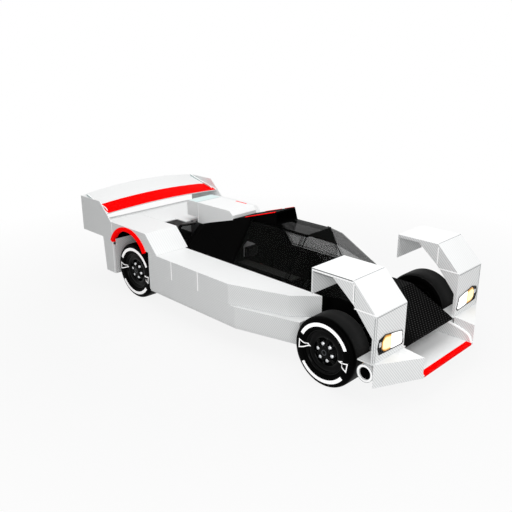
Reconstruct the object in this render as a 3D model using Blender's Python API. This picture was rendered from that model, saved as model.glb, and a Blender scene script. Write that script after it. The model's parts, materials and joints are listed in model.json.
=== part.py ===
"""Endurance racing hypercar, full size, in metres, +X forward, +Y left, +Z up, ground at zero.

Every panel is its own closed solid. Thin shells are cut from prisms, so each wall follows one
named size. Right-hand pieces lie at negative Y and left-hand ones at positive Y.
"""
import math

import bmesh
import bpy
import numpy as np
from mathutils import Matrix, Vector

SEAM = 0.0004
CLEAR = 0.006
SKIN = 0.012

HALF_LENGTH = 2.5
SIDE_Y = 0.965
FENDER_Y = SIDE_Y - 0.007
REAR_WALL_Y = SIDE_Y - 0.004
PLATE_INNER_Y = SIDE_Y - 0.014
TUNNEL_Y = SIDE_Y - 0.490
BELT_Y = TUNNEL_Y + 0.038
NOSE_HALF = TUNNEL_Y - 0.035
BOX_HALF = NOSE_HALF - 0.140
FLOOR_HALF = TUNNEL_Y - 0.005
ROOF_HALF = 0.193
ROOF_EDGE = ROOF_HALF + 0.007
BELT_Z = 0.700
ROOF_Z = BELT_Z + 0.470
SILL_BOTTOM = 0.233
SILL_TOP = SILL_BOTTOM + 0.232
FLOOR_BOTTOM = SILL_BOTTOM - 0.028

WHEEL_RADIUS = 0.355
SIDEWALL = 0.1264
BEAD_RADIUS = WHEEL_RADIUS - SIDEWALL
BARREL_RADIUS = BEAD_RADIUS - 0.0236
STUB_RADIUS = 0.030
RUNNING_GAP = 0.0006
BORE_RADIUS = STUB_RADIUS + RUNNING_GAP
KINGPIN_RADIUS = 0.010
FRONT_AXLE_X = HALF_LENGTH * 0.6792
REAR_AXLE_X = HALF_LENGTH * -0.5572
FRONT_TYRE_WIDTH = 0.300
REAR_TYRE_WIDTH = 0.340
FRONT_TYRE_FACE = FENDER_Y - 0.004
REAR_TYRE_FACE = REAR_WALL_Y - 0.032
FRONT_WHEEL_Y = FRONT_TYRE_FACE - FRONT_TYRE_WIDTH / 2
REAR_WHEEL_Y = REAR_TYRE_FACE - REAR_TYRE_WIDTH / 2
WHEEL_STEPS = 36

TUB_FRONT_X = FRONT_AXLE_X - WHEEL_RADIUS - 0.013
TUB_BACK_X = HALF_LENGTH * -0.128
POD_FRONT_X = TUB_FRONT_X - 0.005
SILL_FRONT_X = TUB_FRONT_X - 0.080
POD_BACK_X = REAR_AXLE_X + WHEEL_RADIUS + 0.013
POD_FOLD_X = HALF_LENGTH * 0.160
SILL_FOLD_X = HALF_LENGTH * 0.200

SHELF_BACK_X = FRONT_AXLE_X + WHEEL_RADIUS + 0.044
FENDER_FACE_X = SHELF_BACK_X + 0.175
FENDER_BACK_X = FRONT_AXLE_X - 0.158
FENDER_KNEE_X = FENDER_FACE_X - 0.257
FENDER_TOP_Z = 2 * WHEEL_RADIUS + 0.473
FENDER_FACE_Z = FENDER_TOP_Z - 0.265
FENDER_WALL_Z = FENDER_TOP_Z - 0.260
FENDER_FOOT_Z = SILL_TOP - 0.008

NOSE_BREAK_X = HALF_LENGTH * 0.708
NOSE_TIP_X = FENDER_FACE_X + 0.003
NOSE_TIP_Z = FENDER_FOOT_Z - 0.001
NOSE_BOTTOM = NOSE_TIP_Z - 0.016
SPLITTER_BACK_X = TUB_FRONT_X + 0.1754
SPLITTER_BOTTOM = SILL_BOTTOM - 0.013
SPLITTER_TOP = SPLITTER_BOTTOM + 0.025
SPLITTER_HALF = TUNNEL_Y + 0.0026

HEADER_X = HALF_LENGTH * 0.3352
SCREEN_MIDDLE_X = HALF_LENGTH * 0.4356
SCREEN_FOOT_X = HALF_LENGTH * 0.648
HOOP_DEPTH = 0.028
CANOPY_FRONT_X = HALF_LENGTH * -0.012
CANOPY_BACK_X = HALF_LENGTH * -0.378
DOOR_BACK_X = CANOPY_FRONT_X + 0.035
DOOR_FRONT_X = HEADER_X - HOOP_DEPTH - CLEAR
HINGE_Y = ROOF_HALF + 0.0155
HINGE_Z = ROOF_Z - 0.0045
HINGE_PIN = 0.004
HINGE_EYE = 0.009

ARCH_X = REAR_AXLE_X - 0.067
ARCH_Z = WHEEL_RADIUS + 0.142
ARCH_RADIUS = WHEEL_RADIUS + 0.020
WELL_BACK_X = REAR_AXLE_X - WHEEL_RADIUS - 0.022
REAR_END_X = WELL_BACK_X - 0.230
REAR_TOP_Z = ARCH_Z + ARCH_RADIUS + 0.058
REAR_KNEE_X = REAR_AXLE_X + 0.318
REAR_FOOT_X = REAR_KNEE_X + 0.215
PLATE_FRONT_X = REAR_END_X + 0.200

SCOOP_LIP_X = HALF_LENGTH * 0.1356
SCOOP_LIP_Z = ROOF_Z + 0.149
SCOOP_HALF = ROOF_HALF - 0.007
RAMP_FOOT_Z = REAR_TOP_Z - 0.009
RAMP_SLOPE = (SCOOP_LIP_Z - RAMP_FOOT_Z) / (SCOOP_LIP_X - CANOPY_BACK_X)
COVER_BACK_X = HALF_LENGTH * -0.476
COVER_FRONT_X = HALF_LENGTH * -0.132
COVER_HALF = 0.200
COVER_TOP_Z = REAR_TOP_Z + 0.270
GEARBOX_HALF = 0.130

WHITE = (0.90, 0.90, 0.90, 1.0)
BLACK = (0.012, 0.012, 0.013, 1.0)
GLASS = (0.03, 0.035, 0.035, 1.0)
METAL = (0.45, 0.46, 0.48, 1.0)
TYRE = (0.02, 0.02, 0.02, 1.0)
LAMP = (0.95, 0.90, 0.75, 1.0)


def clear_scene():
    """Remove every object so that the file starts empty."""
    for item in list(bpy.data.objects):
        bpy.data.objects.remove(item, do_unlink=True)


def material(name, colour, rough, metal=0.0):
    """Return a Principled material with this base colour, roughness and metallic value."""
    found = bpy.data.materials.get(name)
    if found:
        return found
    made = bpy.data.materials.new(name)
    made.use_nodes = True
    shader = made.node_tree.nodes["Principled BSDF"]
    shader.inputs["Base Color"].default_value = colour
    shader.inputs["Roughness"].default_value = rough
    shader.inputs["Metallic"].default_value = metal
    return made


def make(name, verts, faces, slot):
    """Make one object from points and faces, with all normals turned outward."""
    mesh = bpy.data.meshes.new(name)
    mesh.from_pydata([tuple(float(c) for c in v) for v in verts], [], faces)
    work = bmesh.new()
    work.from_mesh(mesh)
    bmesh.ops.recalc_face_normals(work, faces=work.faces)
    work.to_mesh(mesh)
    work.free()
    thing = bpy.data.objects.new(name, mesh)
    thing.data.materials.append(slot)
    bpy.context.scene.collection.objects.link(thing)
    return thing


def place(axis, pair, level):
    """Turn a point of a flat outline into space: x takes (y, z), y takes (x, z), z takes (x, y)."""
    a, b = pair
    if axis == "x":
        return (level, a, b)
    if axis == "y":
        return (a, level, b)
    return (a, b, level)


def prism(name, axis, outline, low, high, slot):
    """Extrude a flat outline along one axis between two levels."""
    count = len(outline)
    verts = [place(axis, p, low) for p in outline] + [place(axis, p, high) for p in outline]
    faces = [list(range(count)), list(range(count, 2 * count))]
    for i in range(count):
        j = (i + 1) % count
        faces.append([i, j, count + j, count + i])
    return make(name, verts, faces, slot)


def frame_plate(name, axis, outer, inner, low, high, slot):
    """Extrude the ring between two outlines of equal point count, leaving the middle open."""
    count = len(outer)
    verts = [place(axis, p, low) for p in outer] + [place(axis, p, high) for p in outer]
    verts += [place(axis, p, low) for p in inner] + [place(axis, p, high) for p in inner]
    faces = []
    for i in range(count):
        j = (i + 1) % count
        faces.append([i, j, count + j, count + i])
        faces.append([2 * count + i, 2 * count + j, 3 * count + j, 3 * count + i])
        faces.append([i, j, 2 * count + j, 2 * count + i])
        faces.append([count + i, count + j, 3 * count + j, 3 * count + i])
    return make(name, verts, faces, slot)


def loft(name, rings, slot, closed=False, mirrored=False):
    """Join rings of equal point count into one solid, capped at both ends unless it closes.

    Each side is split into two triangles. A mirrored loft splits the second half of its rings the
    other way, so that rings that run from the left side to the right stay alike on both sides.
    """
    count = len(rings[0])
    verts = [p for ring in rings for p in ring]
    faces = []
    spans = len(rings) if closed else len(rings) - 1
    for k in range(spans):
        here = k * count
        there = ((k + 1) % len(rings)) * count
        for i in range(count):
            j = (i + 1) % count
            if mirrored and i >= count // 2:
                faces.append([here + i, here + j, there + i])
                faces.append([here + j, there + j, there + i])
            else:
                faces.append([here + i, here + j, there + j])
                faces.append([here + i, there + j, there + i])
    if not closed:
        faces.append(list(range(count)))
        faces.append(list(range((len(rings) - 1) * count, len(rings) * count)))
    return make(name, verts, faces, slot)


def shell(name, verts, faces, thick, slot):
    """Give an open surface a thickness below it, along the mean normals of its faces."""
    points = np.array(verts, float)
    total = np.zeros_like(points)
    for face in faces:
        a, b, c = points[face[0]], points[face[1]], points[face[2]]
        normal = np.cross(b - a, c - a)
        normal /= np.linalg.norm(normal)
        for i in face:
            total[i] += normal
    total /= np.linalg.norm(total, axis=1)[:, None]
    under = points - thick * total
    under = np.maximum(under, [points[:, 0].min(), -9.0, points[:, 2].min()])
    count = len(verts)
    sides = {}
    for face in faces:
        for i, j in zip(face, face[1:] + face[:1]):
            sides[(i, j)] = True
    all_faces = [list(face) for face in faces]
    all_faces += [[count + i for i in reversed(face)] for face in faces]
    for i, j in sides:
        if (j, i) not in sides:
            all_faces.append([j, i, count + i, count + j])
    return make(name, list(points) + list(under), all_faces, slot)


def revolve(name, profile, centre, side, slot, steps=WHEEL_STEPS):
    """Turn a closed profile of (radius, depth) about a Y axis, depth running inward from the face."""
    rings = []
    for k in range(steps):
        turn = 2.0 * math.pi * k / steps
        ring = []
        for radius, depth in profile:
            x = centre[0] + radius * math.cos(turn)
            z = centre[2] + radius * math.sin(turn)
            ring.append((x, centre[1] - side * depth, z))
        rings.append(ring)
    return loft(name, rings, slot, closed=True)


def round_outline(x, z, radius, steps=24, start=0.0, stop=360.0):
    """Points on a circle or arc in a flat outline, the end left off a full circle."""
    full = abs(stop - start) >= 360.0
    count = steps if full else steps + 1
    turns = [math.radians(start + (stop - start) * k / steps) for k in range(count)]
    return [(x + radius * math.cos(t), z + radius * math.sin(t)) for t in turns]


def combine(target, tool, kind):
    """Cut a tool from a body, or join it on, by a live exact Boolean, and hide the tool."""
    step = target.modifiers.new(kind.lower(), "BOOLEAN")
    step.operation = kind
    step.solver = "EXACT"
    step.object = tool
    tool.hide_render = True
    tool.hide_viewport = False
    tool.display_type = "WIRE"
    return target


def cut(target, tool):
    """Take a tool away from a body."""
    return combine(target, tool, "DIFFERENCE")


def join(target, tool):
    """Add a tool to a body that it overlaps."""
    return combine(target, tool, "UNION")


def set_pivot(part, point):
    """Put an object's origin on its joint's axis and leave its shape where it is."""
    part.data.transform(Matrix.Translation(-Vector(point)))
    part.location = point


def sides(pair):
    """The name ending and the sign of Y for the right and left sides."""
    return [(pair + "_right", -1.0), (pair + "_left", 1.0)]


def flip(outline, side):
    """Mirror an outline of (x, y) points to the wanted side."""
    return [(x, side * y) for x, y in outline]


def band(side, near, far):
    """The low and high Y of a piece that spans two distances from the middle plane."""
    return tuple(sorted((side * near, side * far)))


def tray(name, outline, inset, z_open, z_shut, slot):
    """A lid over an outline with walls down its rim, open at one level and shut at the other."""
    inside = shrink(outline, inset)
    body = prism(name, "z", outline, min(z_open, z_shut), max(z_open, z_shut), slot)
    ceiling = z_shut - math.copysign(inset, z_shut - z_open)
    beyond = z_open - math.copysign(0.05, z_shut - z_open)
    tool = prism(name + "_hollow", "z", inside, min(ceiling, beyond), max(ceiling, beyond), slot)
    return cut(body, tool)


def shrink(outline, inset):
    """Move every side of a flat outline inward by the same distance."""
    points = np.array(outline, float)
    ahead = np.roll(points, -1, axis=0)
    area = np.sum(points[:, 0] * ahead[:, 1] - ahead[:, 0] * points[:, 1])
    run = ahead - points
    run /= np.linalg.norm(run, axis=1)[:, None]
    inward = np.stack([-run[:, 1], run[:, 0]], axis=1) * np.sign(area)
    before = np.roll(inward, 1, axis=0)
    mean = inward + before
    mean /= np.sum(inward * mean, axis=1)[:, None]
    return [tuple(p) for p in points + inset * mean]


def ramp(x):
    """Height of the straight black ramp that falls rearward from the scoop lip."""
    return SCOOP_LIP_Z - RAMP_SLOPE * (SCOOP_LIP_X - x)


def wheel(name, x, face_y, width, side, rubber, rim_paint):
    """One tyre and its dished rim about the same Y axis, bead to bead."""
    centre = (x, side * face_y, WHEEL_RADIUS)
    axle = (x, side * (face_y - width / 2), WHEEL_RADIUS)
    shoulder = WHEEL_RADIUS - 0.012
    band_low = BEAD_RADIUS + 0.0244
    band_high = WHEEL_RADIUS - 0.051
    tyre_profile = [
        (BEAD_RADIUS + SEAM, 0.018), (band_low, 0.004), (band_high, 0.0), (shoulder - 0.010, 0.010),
        (shoulder, 0.022), (WHEEL_RADIUS, 0.050), (WHEEL_RADIUS, width - 0.050),
        (shoulder, width - 0.022), (band_high, width), (band_low, width - 0.004),
        (BEAD_RADIUS + SEAM, width - 0.018)]
    tyre = revolve("tyre_" + name, tyre_profile, centre, side, rubber)
    rim_profile = [
        (BEAD_RADIUS, 0.020), (BEAD_RADIUS, width - 0.020), (BARREL_RADIUS, width - 0.020),
        (BARREL_RADIUS, 0.082), (0.070, 0.052), (BORE_RADIUS, 0.052), (BORE_RADIUS, 0.024),
        (0.070, 0.024), (BARREL_RADIUS - 0.019, 0.046), (BARREL_RADIUS, 0.020)]
    rim = revolve("rim_" + name, rim_profile, centre, side, rim_paint)
    for part in (tyre, rim):
        part.data.shade_smooth()
        part.data.set_sharp_from_angle(angle=math.radians(25.0))
        set_pivot(part, axle)


def arm_outline(x, root_y, tip_y, spread, bar):
    """Outer and inner outlines of a flat wishbone whose tip lies on the upright."""
    outer = [(x - spread - bar, root_y), (x + spread + bar, root_y),
             (x + 0.030, tip_y), (x - 0.030, tip_y)]
    slope = (spread + bar - 0.030) / (tip_y - root_y)
    top = tip_y - 0.150
    inner_low = root_y + 0.020
    inner = [(x - spread - bar + slope * 0.020 + 0.028, inner_low),
             (x + spread + bar - slope * 0.020 - 0.028, inner_low),
             (x + 0.004 + slope * 0.150, top), (x - 0.004 - slope * 0.150, top)]
    return outer, inner


def wishbone(name, x, root_y, tip_y, z, side, slot, spread=0.110, thick=0.016):
    """A flat triangular arm with an open middle."""
    outer, inner = arm_outline(x, root_y, tip_y, spread, 0.014)
    return frame_plate(name, "z", flip(outer, side), flip(inner, side),
                       z - thick / 2, z + thick / 2, slot)


def front_corner(side, name, metal):
    """Fixed arms with their push rod, and the knuckle that steers between the arms' tips."""
    reach = BARREL_RADIUS - 0.060
    upper_z = WHEEL_RADIUS + reach
    lower_z = WHEEL_RADIUS - reach
    arms = wishbone("front_arms" + name, FRONT_AXLE_X, NOSE_HALF + SEAM, FRONT_WHEEL_Y + 0.028,
                    upper_z, side, metal)
    low = wishbone("low_arm" + name, FRONT_AXLE_X, BOX_HALF + SEAM, FRONT_WHEEL_Y + 0.028,
                   lower_z + 0.045, side, metal)
    ends = [(FRONT_AXLE_X + 0.092, NOSE_HALF + 0.030, upper_z),
            (FRONT_AXLE_X + 0.044, FRONT_WHEEL_Y - 0.174, lower_z + 0.045)]
    rod = loft("push_rod" + name,
               [[(x, side * y, z), (x + 0.016, side * y, z), (x + 0.016, side * (y + 0.020), z),
                 (x, side * (y + 0.020), z)] for x, y, z in ends], metal)
    join(arms, low)
    join(arms, rod)
    axis = (FRONT_AXLE_X, side * FRONT_WHEEL_Y)
    hole = round_outline(axis[0], axis[1], KINGPIN_RADIUS + RUNNING_GAP, 16)
    cut(arms, prism("kingpin_hole" + name, "z", hole, lower_z, upper_z + 0.050, metal))
    near, far = band(side, FRONT_WHEEL_Y - 0.030, FRONT_WHEEL_Y + 0.030)
    knuckle = prism("knuckle" + name, "y",
                    [(FRONT_AXLE_X - 0.035, lower_z + 0.062), (FRONT_AXLE_X + 0.035, lower_z + 0.062),
                     (FRONT_AXLE_X + 0.055, WHEEL_RADIUS), (FRONT_AXLE_X + 0.035, upper_z - 0.016),
                     (FRONT_AXLE_X - 0.035, upper_z - 0.016), (FRONT_AXLE_X - 0.055, WHEEL_RADIUS)],
                    near, far, metal)
    near, far = band(side, FRONT_WHEEL_Y + 0.010, FRONT_TYRE_FACE - 0.022)
    stub = prism("stub" + name, "y", round_outline(FRONT_AXLE_X, WHEEL_RADIUS, STUB_RADIUS, 16),
                 near, far, metal)
    join(knuckle, stub)
    pin = round_outline(axis[0], axis[1], KINGPIN_RADIUS, 16)
    join(knuckle, prism("kingpin" + name, "z", pin, lower_z + 0.033, upper_z + 0.012, metal))
    set_pivot(knuckle, (axis[0], axis[1], WHEEL_RADIUS))


def rear_corner(side, name, metal):
    """Fixed rear arms, upright, stub axle and drive shaft in one body."""
    upper_z = WHEEL_RADIUS + BARREL_RADIUS - 0.070
    lower_z = WHEEL_RADIUS - BARREL_RADIUS + 0.105
    body = wishbone("rear_arms" + name, REAR_AXLE_X, GEARBOX_HALF + SEAM, REAR_WHEEL_Y + 0.020,
                    upper_z, side, metal)
    low = wishbone("rear_low_arm" + name, REAR_AXLE_X, GEARBOX_HALF + SEAM, REAR_WHEEL_Y + 0.020,
                   lower_z, side, metal)
    near, far = band(side, REAR_WHEEL_Y - 0.045, REAR_WHEEL_Y + 0.025)
    upright = prism("rear_upright" + name, "y",
                    [(REAR_AXLE_X - 0.040, lower_z - 0.002), (REAR_AXLE_X + 0.040, lower_z - 0.002),
                     (REAR_AXLE_X + 0.060, WHEEL_RADIUS), (REAR_AXLE_X + 0.040, upper_z + 0.002),
                     (REAR_AXLE_X - 0.040, upper_z + 0.002), (REAR_AXLE_X - 0.060, WHEEL_RADIUS)],
                    near, far, metal)
    near, far = band(side, GEARBOX_HALF + SEAM, REAR_TYRE_FACE - 0.022)
    shaft = prism("drive_shaft" + name, "y",
                  round_outline(REAR_AXLE_X, WHEEL_RADIUS, STUB_RADIUS, 16), near, far, metal)
    join(body, low)
    join(body, upright)
    join(body, shaft)


def front_fender(side, name, paint):
    """Tunnel arch over the front wheel: roof, slope, lamp panel, rear wall and edge strips."""
    rear = FENDER_BACK_X
    outline = [
        (rear, FENDER_WALL_Z), (rear, FENDER_TOP_Z), (FENDER_KNEE_X, FENDER_TOP_Z),
        (FENDER_FACE_X, FENDER_FACE_Z), (FENDER_FACE_X, FENDER_FOOT_Z),
        (FENDER_FACE_X - 0.032, FENDER_FOOT_Z), (FENDER_FACE_X - 0.032, FENDER_FACE_Z - 0.218),
        (FENDER_KNEE_X + 0.008, FENDER_TOP_Z - 0.226), (rear + 0.302, FENDER_TOP_Z - 0.077),
        (rear + 0.250, FENDER_TOP_Z - 0.034), (rear + 0.016, FENDER_TOP_Z - 0.034),
        (rear + 0.016, FENDER_WALL_Z)]
    low, high = band(side, TUNNEL_Y, FENDER_Y)
    body = prism("front_fender" + name, "y", outline, low, high, paint)
    inside = [
        (rear + SKIN, FENDER_TOP_Z - SKIN), (FENDER_KNEE_X - 0.005, FENDER_TOP_Z - SKIN),
        (FENDER_FACE_X - SKIN, FENDER_FACE_Z - 0.005), (FENDER_FACE_X - SKIN, FENDER_FOOT_Z - 0.05),
        (FENDER_FACE_X - 0.150, FENDER_FOOT_Z - 0.05), (rear + 0.100, FENDER_WALL_Z - 0.05),
        (rear + SKIN, FENDER_WALL_Z - 0.05)]
    low, high = band(side, TUNNEL_Y + SKIN, FENDER_Y - SKIN)
    cut(body, prism("fender_tunnel" + name, "y", inside, low, high, paint))


def lamp(side, name, slot):
    """Lamp unit that stands a little proud of the fender's front panel."""
    outline = [(0.043, 0.147), (0.069, 0.076), (0.438, 0.055), (0.458, 0.073),
               (0.424, 0.199), (0.154, 0.248), (0.063, 0.221)]
    outline = [(side * (FENDER_Y - y), FENDER_FOOT_Z + z) for y, z in outline]
    prism("headlamp" + name, "x", outline,
          FENDER_FACE_X + SEAM, FENDER_FACE_X + 0.010, slot)


def corner_block(side, name, paint):
    """Swept lower corner ahead of the wheel, open toward the wheel."""
    x0 = FENDER_FACE_X + SEAM
    inner = TUNNEL_Y + 0.003
    top = FENDER_FOOT_Z - 0.001
    ring_top = [(x0, side * FENDER_Y, top), (x0, side * inner, top),
                (HALF_LENGTH - 0.003, side * inner, top - 0.023)]
    ring_low = [(x0, side * FENDER_Y, SPLITTER_BOTTOM), (x0, side * inner, SPLITTER_BOTTOM),
                (HALF_LENGTH, side * inner, SPLITTER_BOTTOM)]
    body = loft("corner_block" + name, [ring_top, ring_low], paint)
    pocket = [(x0 - 0.05, side * (inner + SKIN)), (x0 - 0.05, side * (FENDER_Y - 0.060)),
              (x0 + 0.001, side * (FENDER_Y - 0.060)), (HALF_LENGTH - 0.060, side * (inner + SKIN))]
    cut(body, prism("corner_pocket" + name, "z", pocket, SPLITTER_BOTTOM + SKIN, top - 0.040, paint))


def shelf_and_duct(side, name, paint):
    """Flat shelf behind the lamp panel with the brake duct hung under it on a saddle."""
    top = FENDER_FOOT_Z - SEAM
    back = SHELF_BACK_X
    low, high = band(side, NOSE_HALF + SEAM, FENDER_Y)
    body = prism("brake_duct" + name, "z",
                 [(back, low), (FENDER_FACE_X, low), (FENDER_FACE_X, high), (back, high)],
                 top - SKIN, top, paint)
    radius = 0.086
    x = back + 0.089
    z = FENDER_FOOT_Z - 0.117
    low, high = band(side, TUNNEL_Y + 0.005, FENDER_Y - 0.002)
    tube = frame_plate("duct_tube" + name, "y", round_outline(x, z, radius),
                       round_outline(x, z, radius * 0.70), low, high, paint)
    low, high = band(side, TUNNEL_Y + 0.085, FENDER_Y - 0.050)
    saddle = prism("duct_saddle" + name, "y",
                   [(x - 0.030, z + radius * 0.80), (x + 0.030, z + radius * 0.80),
                    (x + 0.030, top - 0.004), (x - 0.030, top - 0.004)], low, high, paint)
    join(saddle, tube)
    join(body, tube)
    join(body, saddle)


def splitter(paint):
    """Front deck with an upright fence along each edge."""
    body = prism("front_splitter", "z",
                 [(SPLITTER_BACK_X, -SPLITTER_HALF), (HALF_LENGTH, -SPLITTER_HALF),
                  (HALF_LENGTH, SPLITTER_HALF), (SPLITTER_BACK_X, SPLITTER_HALF)],
                 SPLITTER_BOTTOM, SPLITTER_TOP, paint)
    fence = [(0.450, -0.010), (0.450, 0.155), (0.290, 0.140), (0.084, 0.088), (0.053, 0.070),
             (0.030, 0.040), (0.015, 0.0), (0.015, -0.010)]
    fence = [(HALF_LENGTH - x, SPLITTER_TOP + z) for x, z in fence]
    for name, side in sides("fence"):
        low, high = band(side, SPLITTER_HALF - 0.0216, SPLITTER_HALF - 0.0006)
        join(body, prism(name, "y", fence, low, high, paint))


def nose(carbon):
    """Black wedge between the fenders, hollow and open toward the tub."""
    back = TUB_FRONT_X + SEAM
    outline = [(back, NOSE_BOTTOM), (back, BELT_Z), (NOSE_BREAK_X, BELT_Z),
               (NOSE_TIP_X, NOSE_TIP_Z), (NOSE_TIP_X, NOSE_BOTTOM)]
    body = prism("nose", "y", outline, -NOSE_HALF, NOSE_HALF, carbon)
    inside = [(back - 0.05, NOSE_BOTTOM + SKIN), (back - 0.05, BELT_Z - SKIN),
              (NOSE_BREAK_X - 0.005, BELT_Z - SKIN), (NOSE_TIP_X - 0.060, NOSE_BOTTOM + 0.026),
              (NOSE_TIP_X - 0.060, NOSE_BOTTOM + SKIN)]
    cut(body, prism("nose_hollow", "y", inside, -NOSE_HALF + SKIN, NOSE_HALF - SKIN, carbon))


def tub(carbon):
    """Open cockpit tub with a lower front box that carries the front arms."""
    half = BELT_Y - SEAM
    body = prism("tub", "z", [(TUB_BACK_X, -half), (TUB_FRONT_X, -half), (TUB_FRONT_X, half),
                              (TUB_BACK_X, half)], SILL_BOTTOM + SEAM, BELT_Z - 0.001, carbon)
    foot = prism("tub_front_box", "z",
                 [(TUB_FRONT_X - 0.050, -BOX_HALF), (NOSE_TIP_X - 0.275, -BOX_HALF),
                  (NOSE_TIP_X - 0.275, BOX_HALF), (TUB_FRONT_X - 0.050, BOX_HALF)],
                 SPLITTER_TOP + SEAM, NOSE_BOTTOM - SEAM, carbon)
    join(body, foot)
    wall = 0.045
    cut(body, prism("cockpit_hollow", "z",
                    [(TUB_BACK_X + wall, -half + wall), (TUB_FRONT_X - wall, -half + wall),
                     (TUB_FRONT_X - wall, half - wall), (TUB_BACK_X + wall, half - wall)],
                    SILL_BOTTOM + 0.030, BELT_Z + 0.05, carbon))
    leg = NOSE_HALF - 0.080
    cut(body, prism("leg_opening", "x", [(-leg, NOSE_BOTTOM + 0.030), (leg, NOSE_BOTTOM + 0.030),
                                         (leg, BELT_Z - 0.040), (-leg, BELT_Z - 0.040)],
                    TUB_FRONT_X - 0.090, TUB_FRONT_X + 0.020, carbon))


def floor(carbon):
    """Flat floor under the tub, the pods and the engine."""
    edge = SIDE_Y - SKIN
    half = [(WELL_BACK_X + 0.010, FLOOR_HALF), (POD_BACK_X, FLOOR_HALF), (POD_BACK_X, edge),
            (SILL_FOLD_X, edge), (SILL_FRONT_X, edge - 0.195), (SILL_FRONT_X, FLOOR_HALF),
            (SPLITTER_BACK_X - SEAM, FLOOR_HALF)]
    outline = half + [(x, -y) for x, y in reversed(half)]
    prism("floor", "z", outline, FLOOR_BOTTOM, SILL_BOTTOM - SEAM, carbon)


def diffuser(carbon):
    """Upswept rear floor with four strakes."""
    x0 = WELL_BACK_X + 0.010 - SEAM
    x1 = 0.040 - HALF_LENGTH
    top = SILL_BOTTOM - SEAM
    rise = FLOOR_BOTTOM + 0.245
    body = prism("diffuser", "y", [(x0, FLOOR_BOTTOM), (x0, top), (x1, rise), (x1, rise - 0.020)],
                 -FLOOR_HALF, FLOOR_HALF, carbon)
    strake = [(x0 - 0.080, FLOOR_BOTTOM + 0.002), (x1 + 0.020, rise - 0.012),
              (x1 + 0.020, FLOOR_BOTTOM + 0.045)]
    outer = FLOOR_HALF - 0.010
    for number, y in enumerate((-outer, -0.160, 0.160, outer)):
        join(body, prism("strake_%d" % number, "y", strake, y - 0.006, y + 0.006, carbon))


def pod(side, name, paint):
    """Upper side pod: flat top, folded outer wall."""
    inner = BELT_Y + 0.001
    outline = [(POD_BACK_X, SIDE_Y), (POD_FOLD_X, SIDE_Y), (POD_FRONT_X - 0.250, SIDE_Y - 0.222),
               (POD_FRONT_X, inner), (POD_BACK_X, inner)]
    tray("pod" + name, flip(outline, side), SKIN, SILL_TOP + SEAM, BELT_Z, paint)


def sill(side, name, paint):
    """Lower side panel, whose top shows as a ledge ahead of the fold."""
    inner = BELT_Y + 0.001
    outline = [(POD_BACK_X, SIDE_Y), (SILL_FOLD_X, SIDE_Y), (SILL_FRONT_X, SIDE_Y - 0.195),
               (SILL_FRONT_X, inner), (POD_BACK_X, inner)]
    tray("sill" + name, flip(outline, side), SKIN, SILL_BOTTOM, SILL_TOP, paint)


def side_at(z):
    """Distance from the middle plane of the sloping canopy side at a height."""
    return ROOF_EDGE + (BELT_Y - SEAM - ROOF_EDGE) * (ROOF_Z - z) / (ROOF_Z - BELT_Z)


def hoop(name, x0, x1, slot):
    """Upside-down U in the canopy's section: two sloping posts and a cross bar."""
    foot = BELT_Z + SEAM
    top = ROOF_Z - 0.013
    post = 0.030
    half = [(side_at(foot), foot), (ROOF_EDGE, top)]
    under = [(ROOF_EDGE - post * 0.6, ROOF_Z - 0.045), (side_at(foot) - post, foot)]
    ring = half + [(-y, z) for y, z in reversed(half)]
    ring += [(-y, z) for y, z in reversed(under)] + under
    return prism(name, "x", ring, x0, x1, slot)


def canopy_frame(carbon):
    """Front and rear hoops joined by two roof rails."""
    body = hoop("canopy_frame", HEADER_X - HOOP_DEPTH, HEADER_X, carbon)
    join(body, hoop("rear_hoop", CANOPY_FRONT_X + SEAM, DOOR_BACK_X - CLEAR, carbon))
    for name, side in sides("roof_rail"):
        low, high = band(side, ROOF_HALF - 0.045, ROOF_HALF - 0.015)
        join(body, prism(name, "y", [(CANOPY_FRONT_X + 0.010, ROOF_Z - 0.036),
                                     (HEADER_X - 0.010, ROOF_Z - 0.036),
                                     (HEADER_X - 0.010, ROOF_Z - 0.016),
                                     (CANOPY_FRONT_X + 0.010, ROOF_Z - 0.016)], low, high, carbon))
    for name, side in sides("hinge"):
        lug = [(side * (ROOF_HALF - 0.003), ROOF_Z - 0.030), (side * (ROOF_HALF + 0.003), ROOF_Z - 0.001),
               (side * (HINGE_Y + 0.006), ROOF_Z - 0.001), (side * (HINGE_Y + 0.006), HINGE_Z - 0.010)]
        pin = [(side * y, z) for y, z in round_outline(HINGE_Y, HINGE_Z, HINGE_PIN, 12)]
        spans = ((CANOPY_FRONT_X + 0.003, DOOR_BACK_X - CLEAR - 0.002, DOOR_BACK_X + 0.010),
                 (HEADER_X - 0.002, HEADER_X - HOOP_DEPTH + 0.002, DOOR_FRONT_X - 0.010))
        for number, (far, near, tip) in enumerate(spans):
            tag = "%s_%d" % (name, number)
            join(body, prism("lug_" + tag, "x", lug, min(far, near), max(far, near), carbon))
            middle = (far + near) / 2
            join(body, prism("pin_" + tag, "x", pin, min(middle, tip), max(middle, tip), carbon))


def roof(glass):
    """Flat smoked roof pane on the hoops."""
    prism("roof_pane", "z", [(CANOPY_FRONT_X + SEAM, -ROOF_HALF), (HEADER_X, -ROOF_HALF),
                             (HEADER_X, ROOF_HALF), (CANOPY_FRONT_X + SEAM, ROOF_HALF)],
          ROOF_Z - 0.0126, ROOF_Z, glass)


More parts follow.
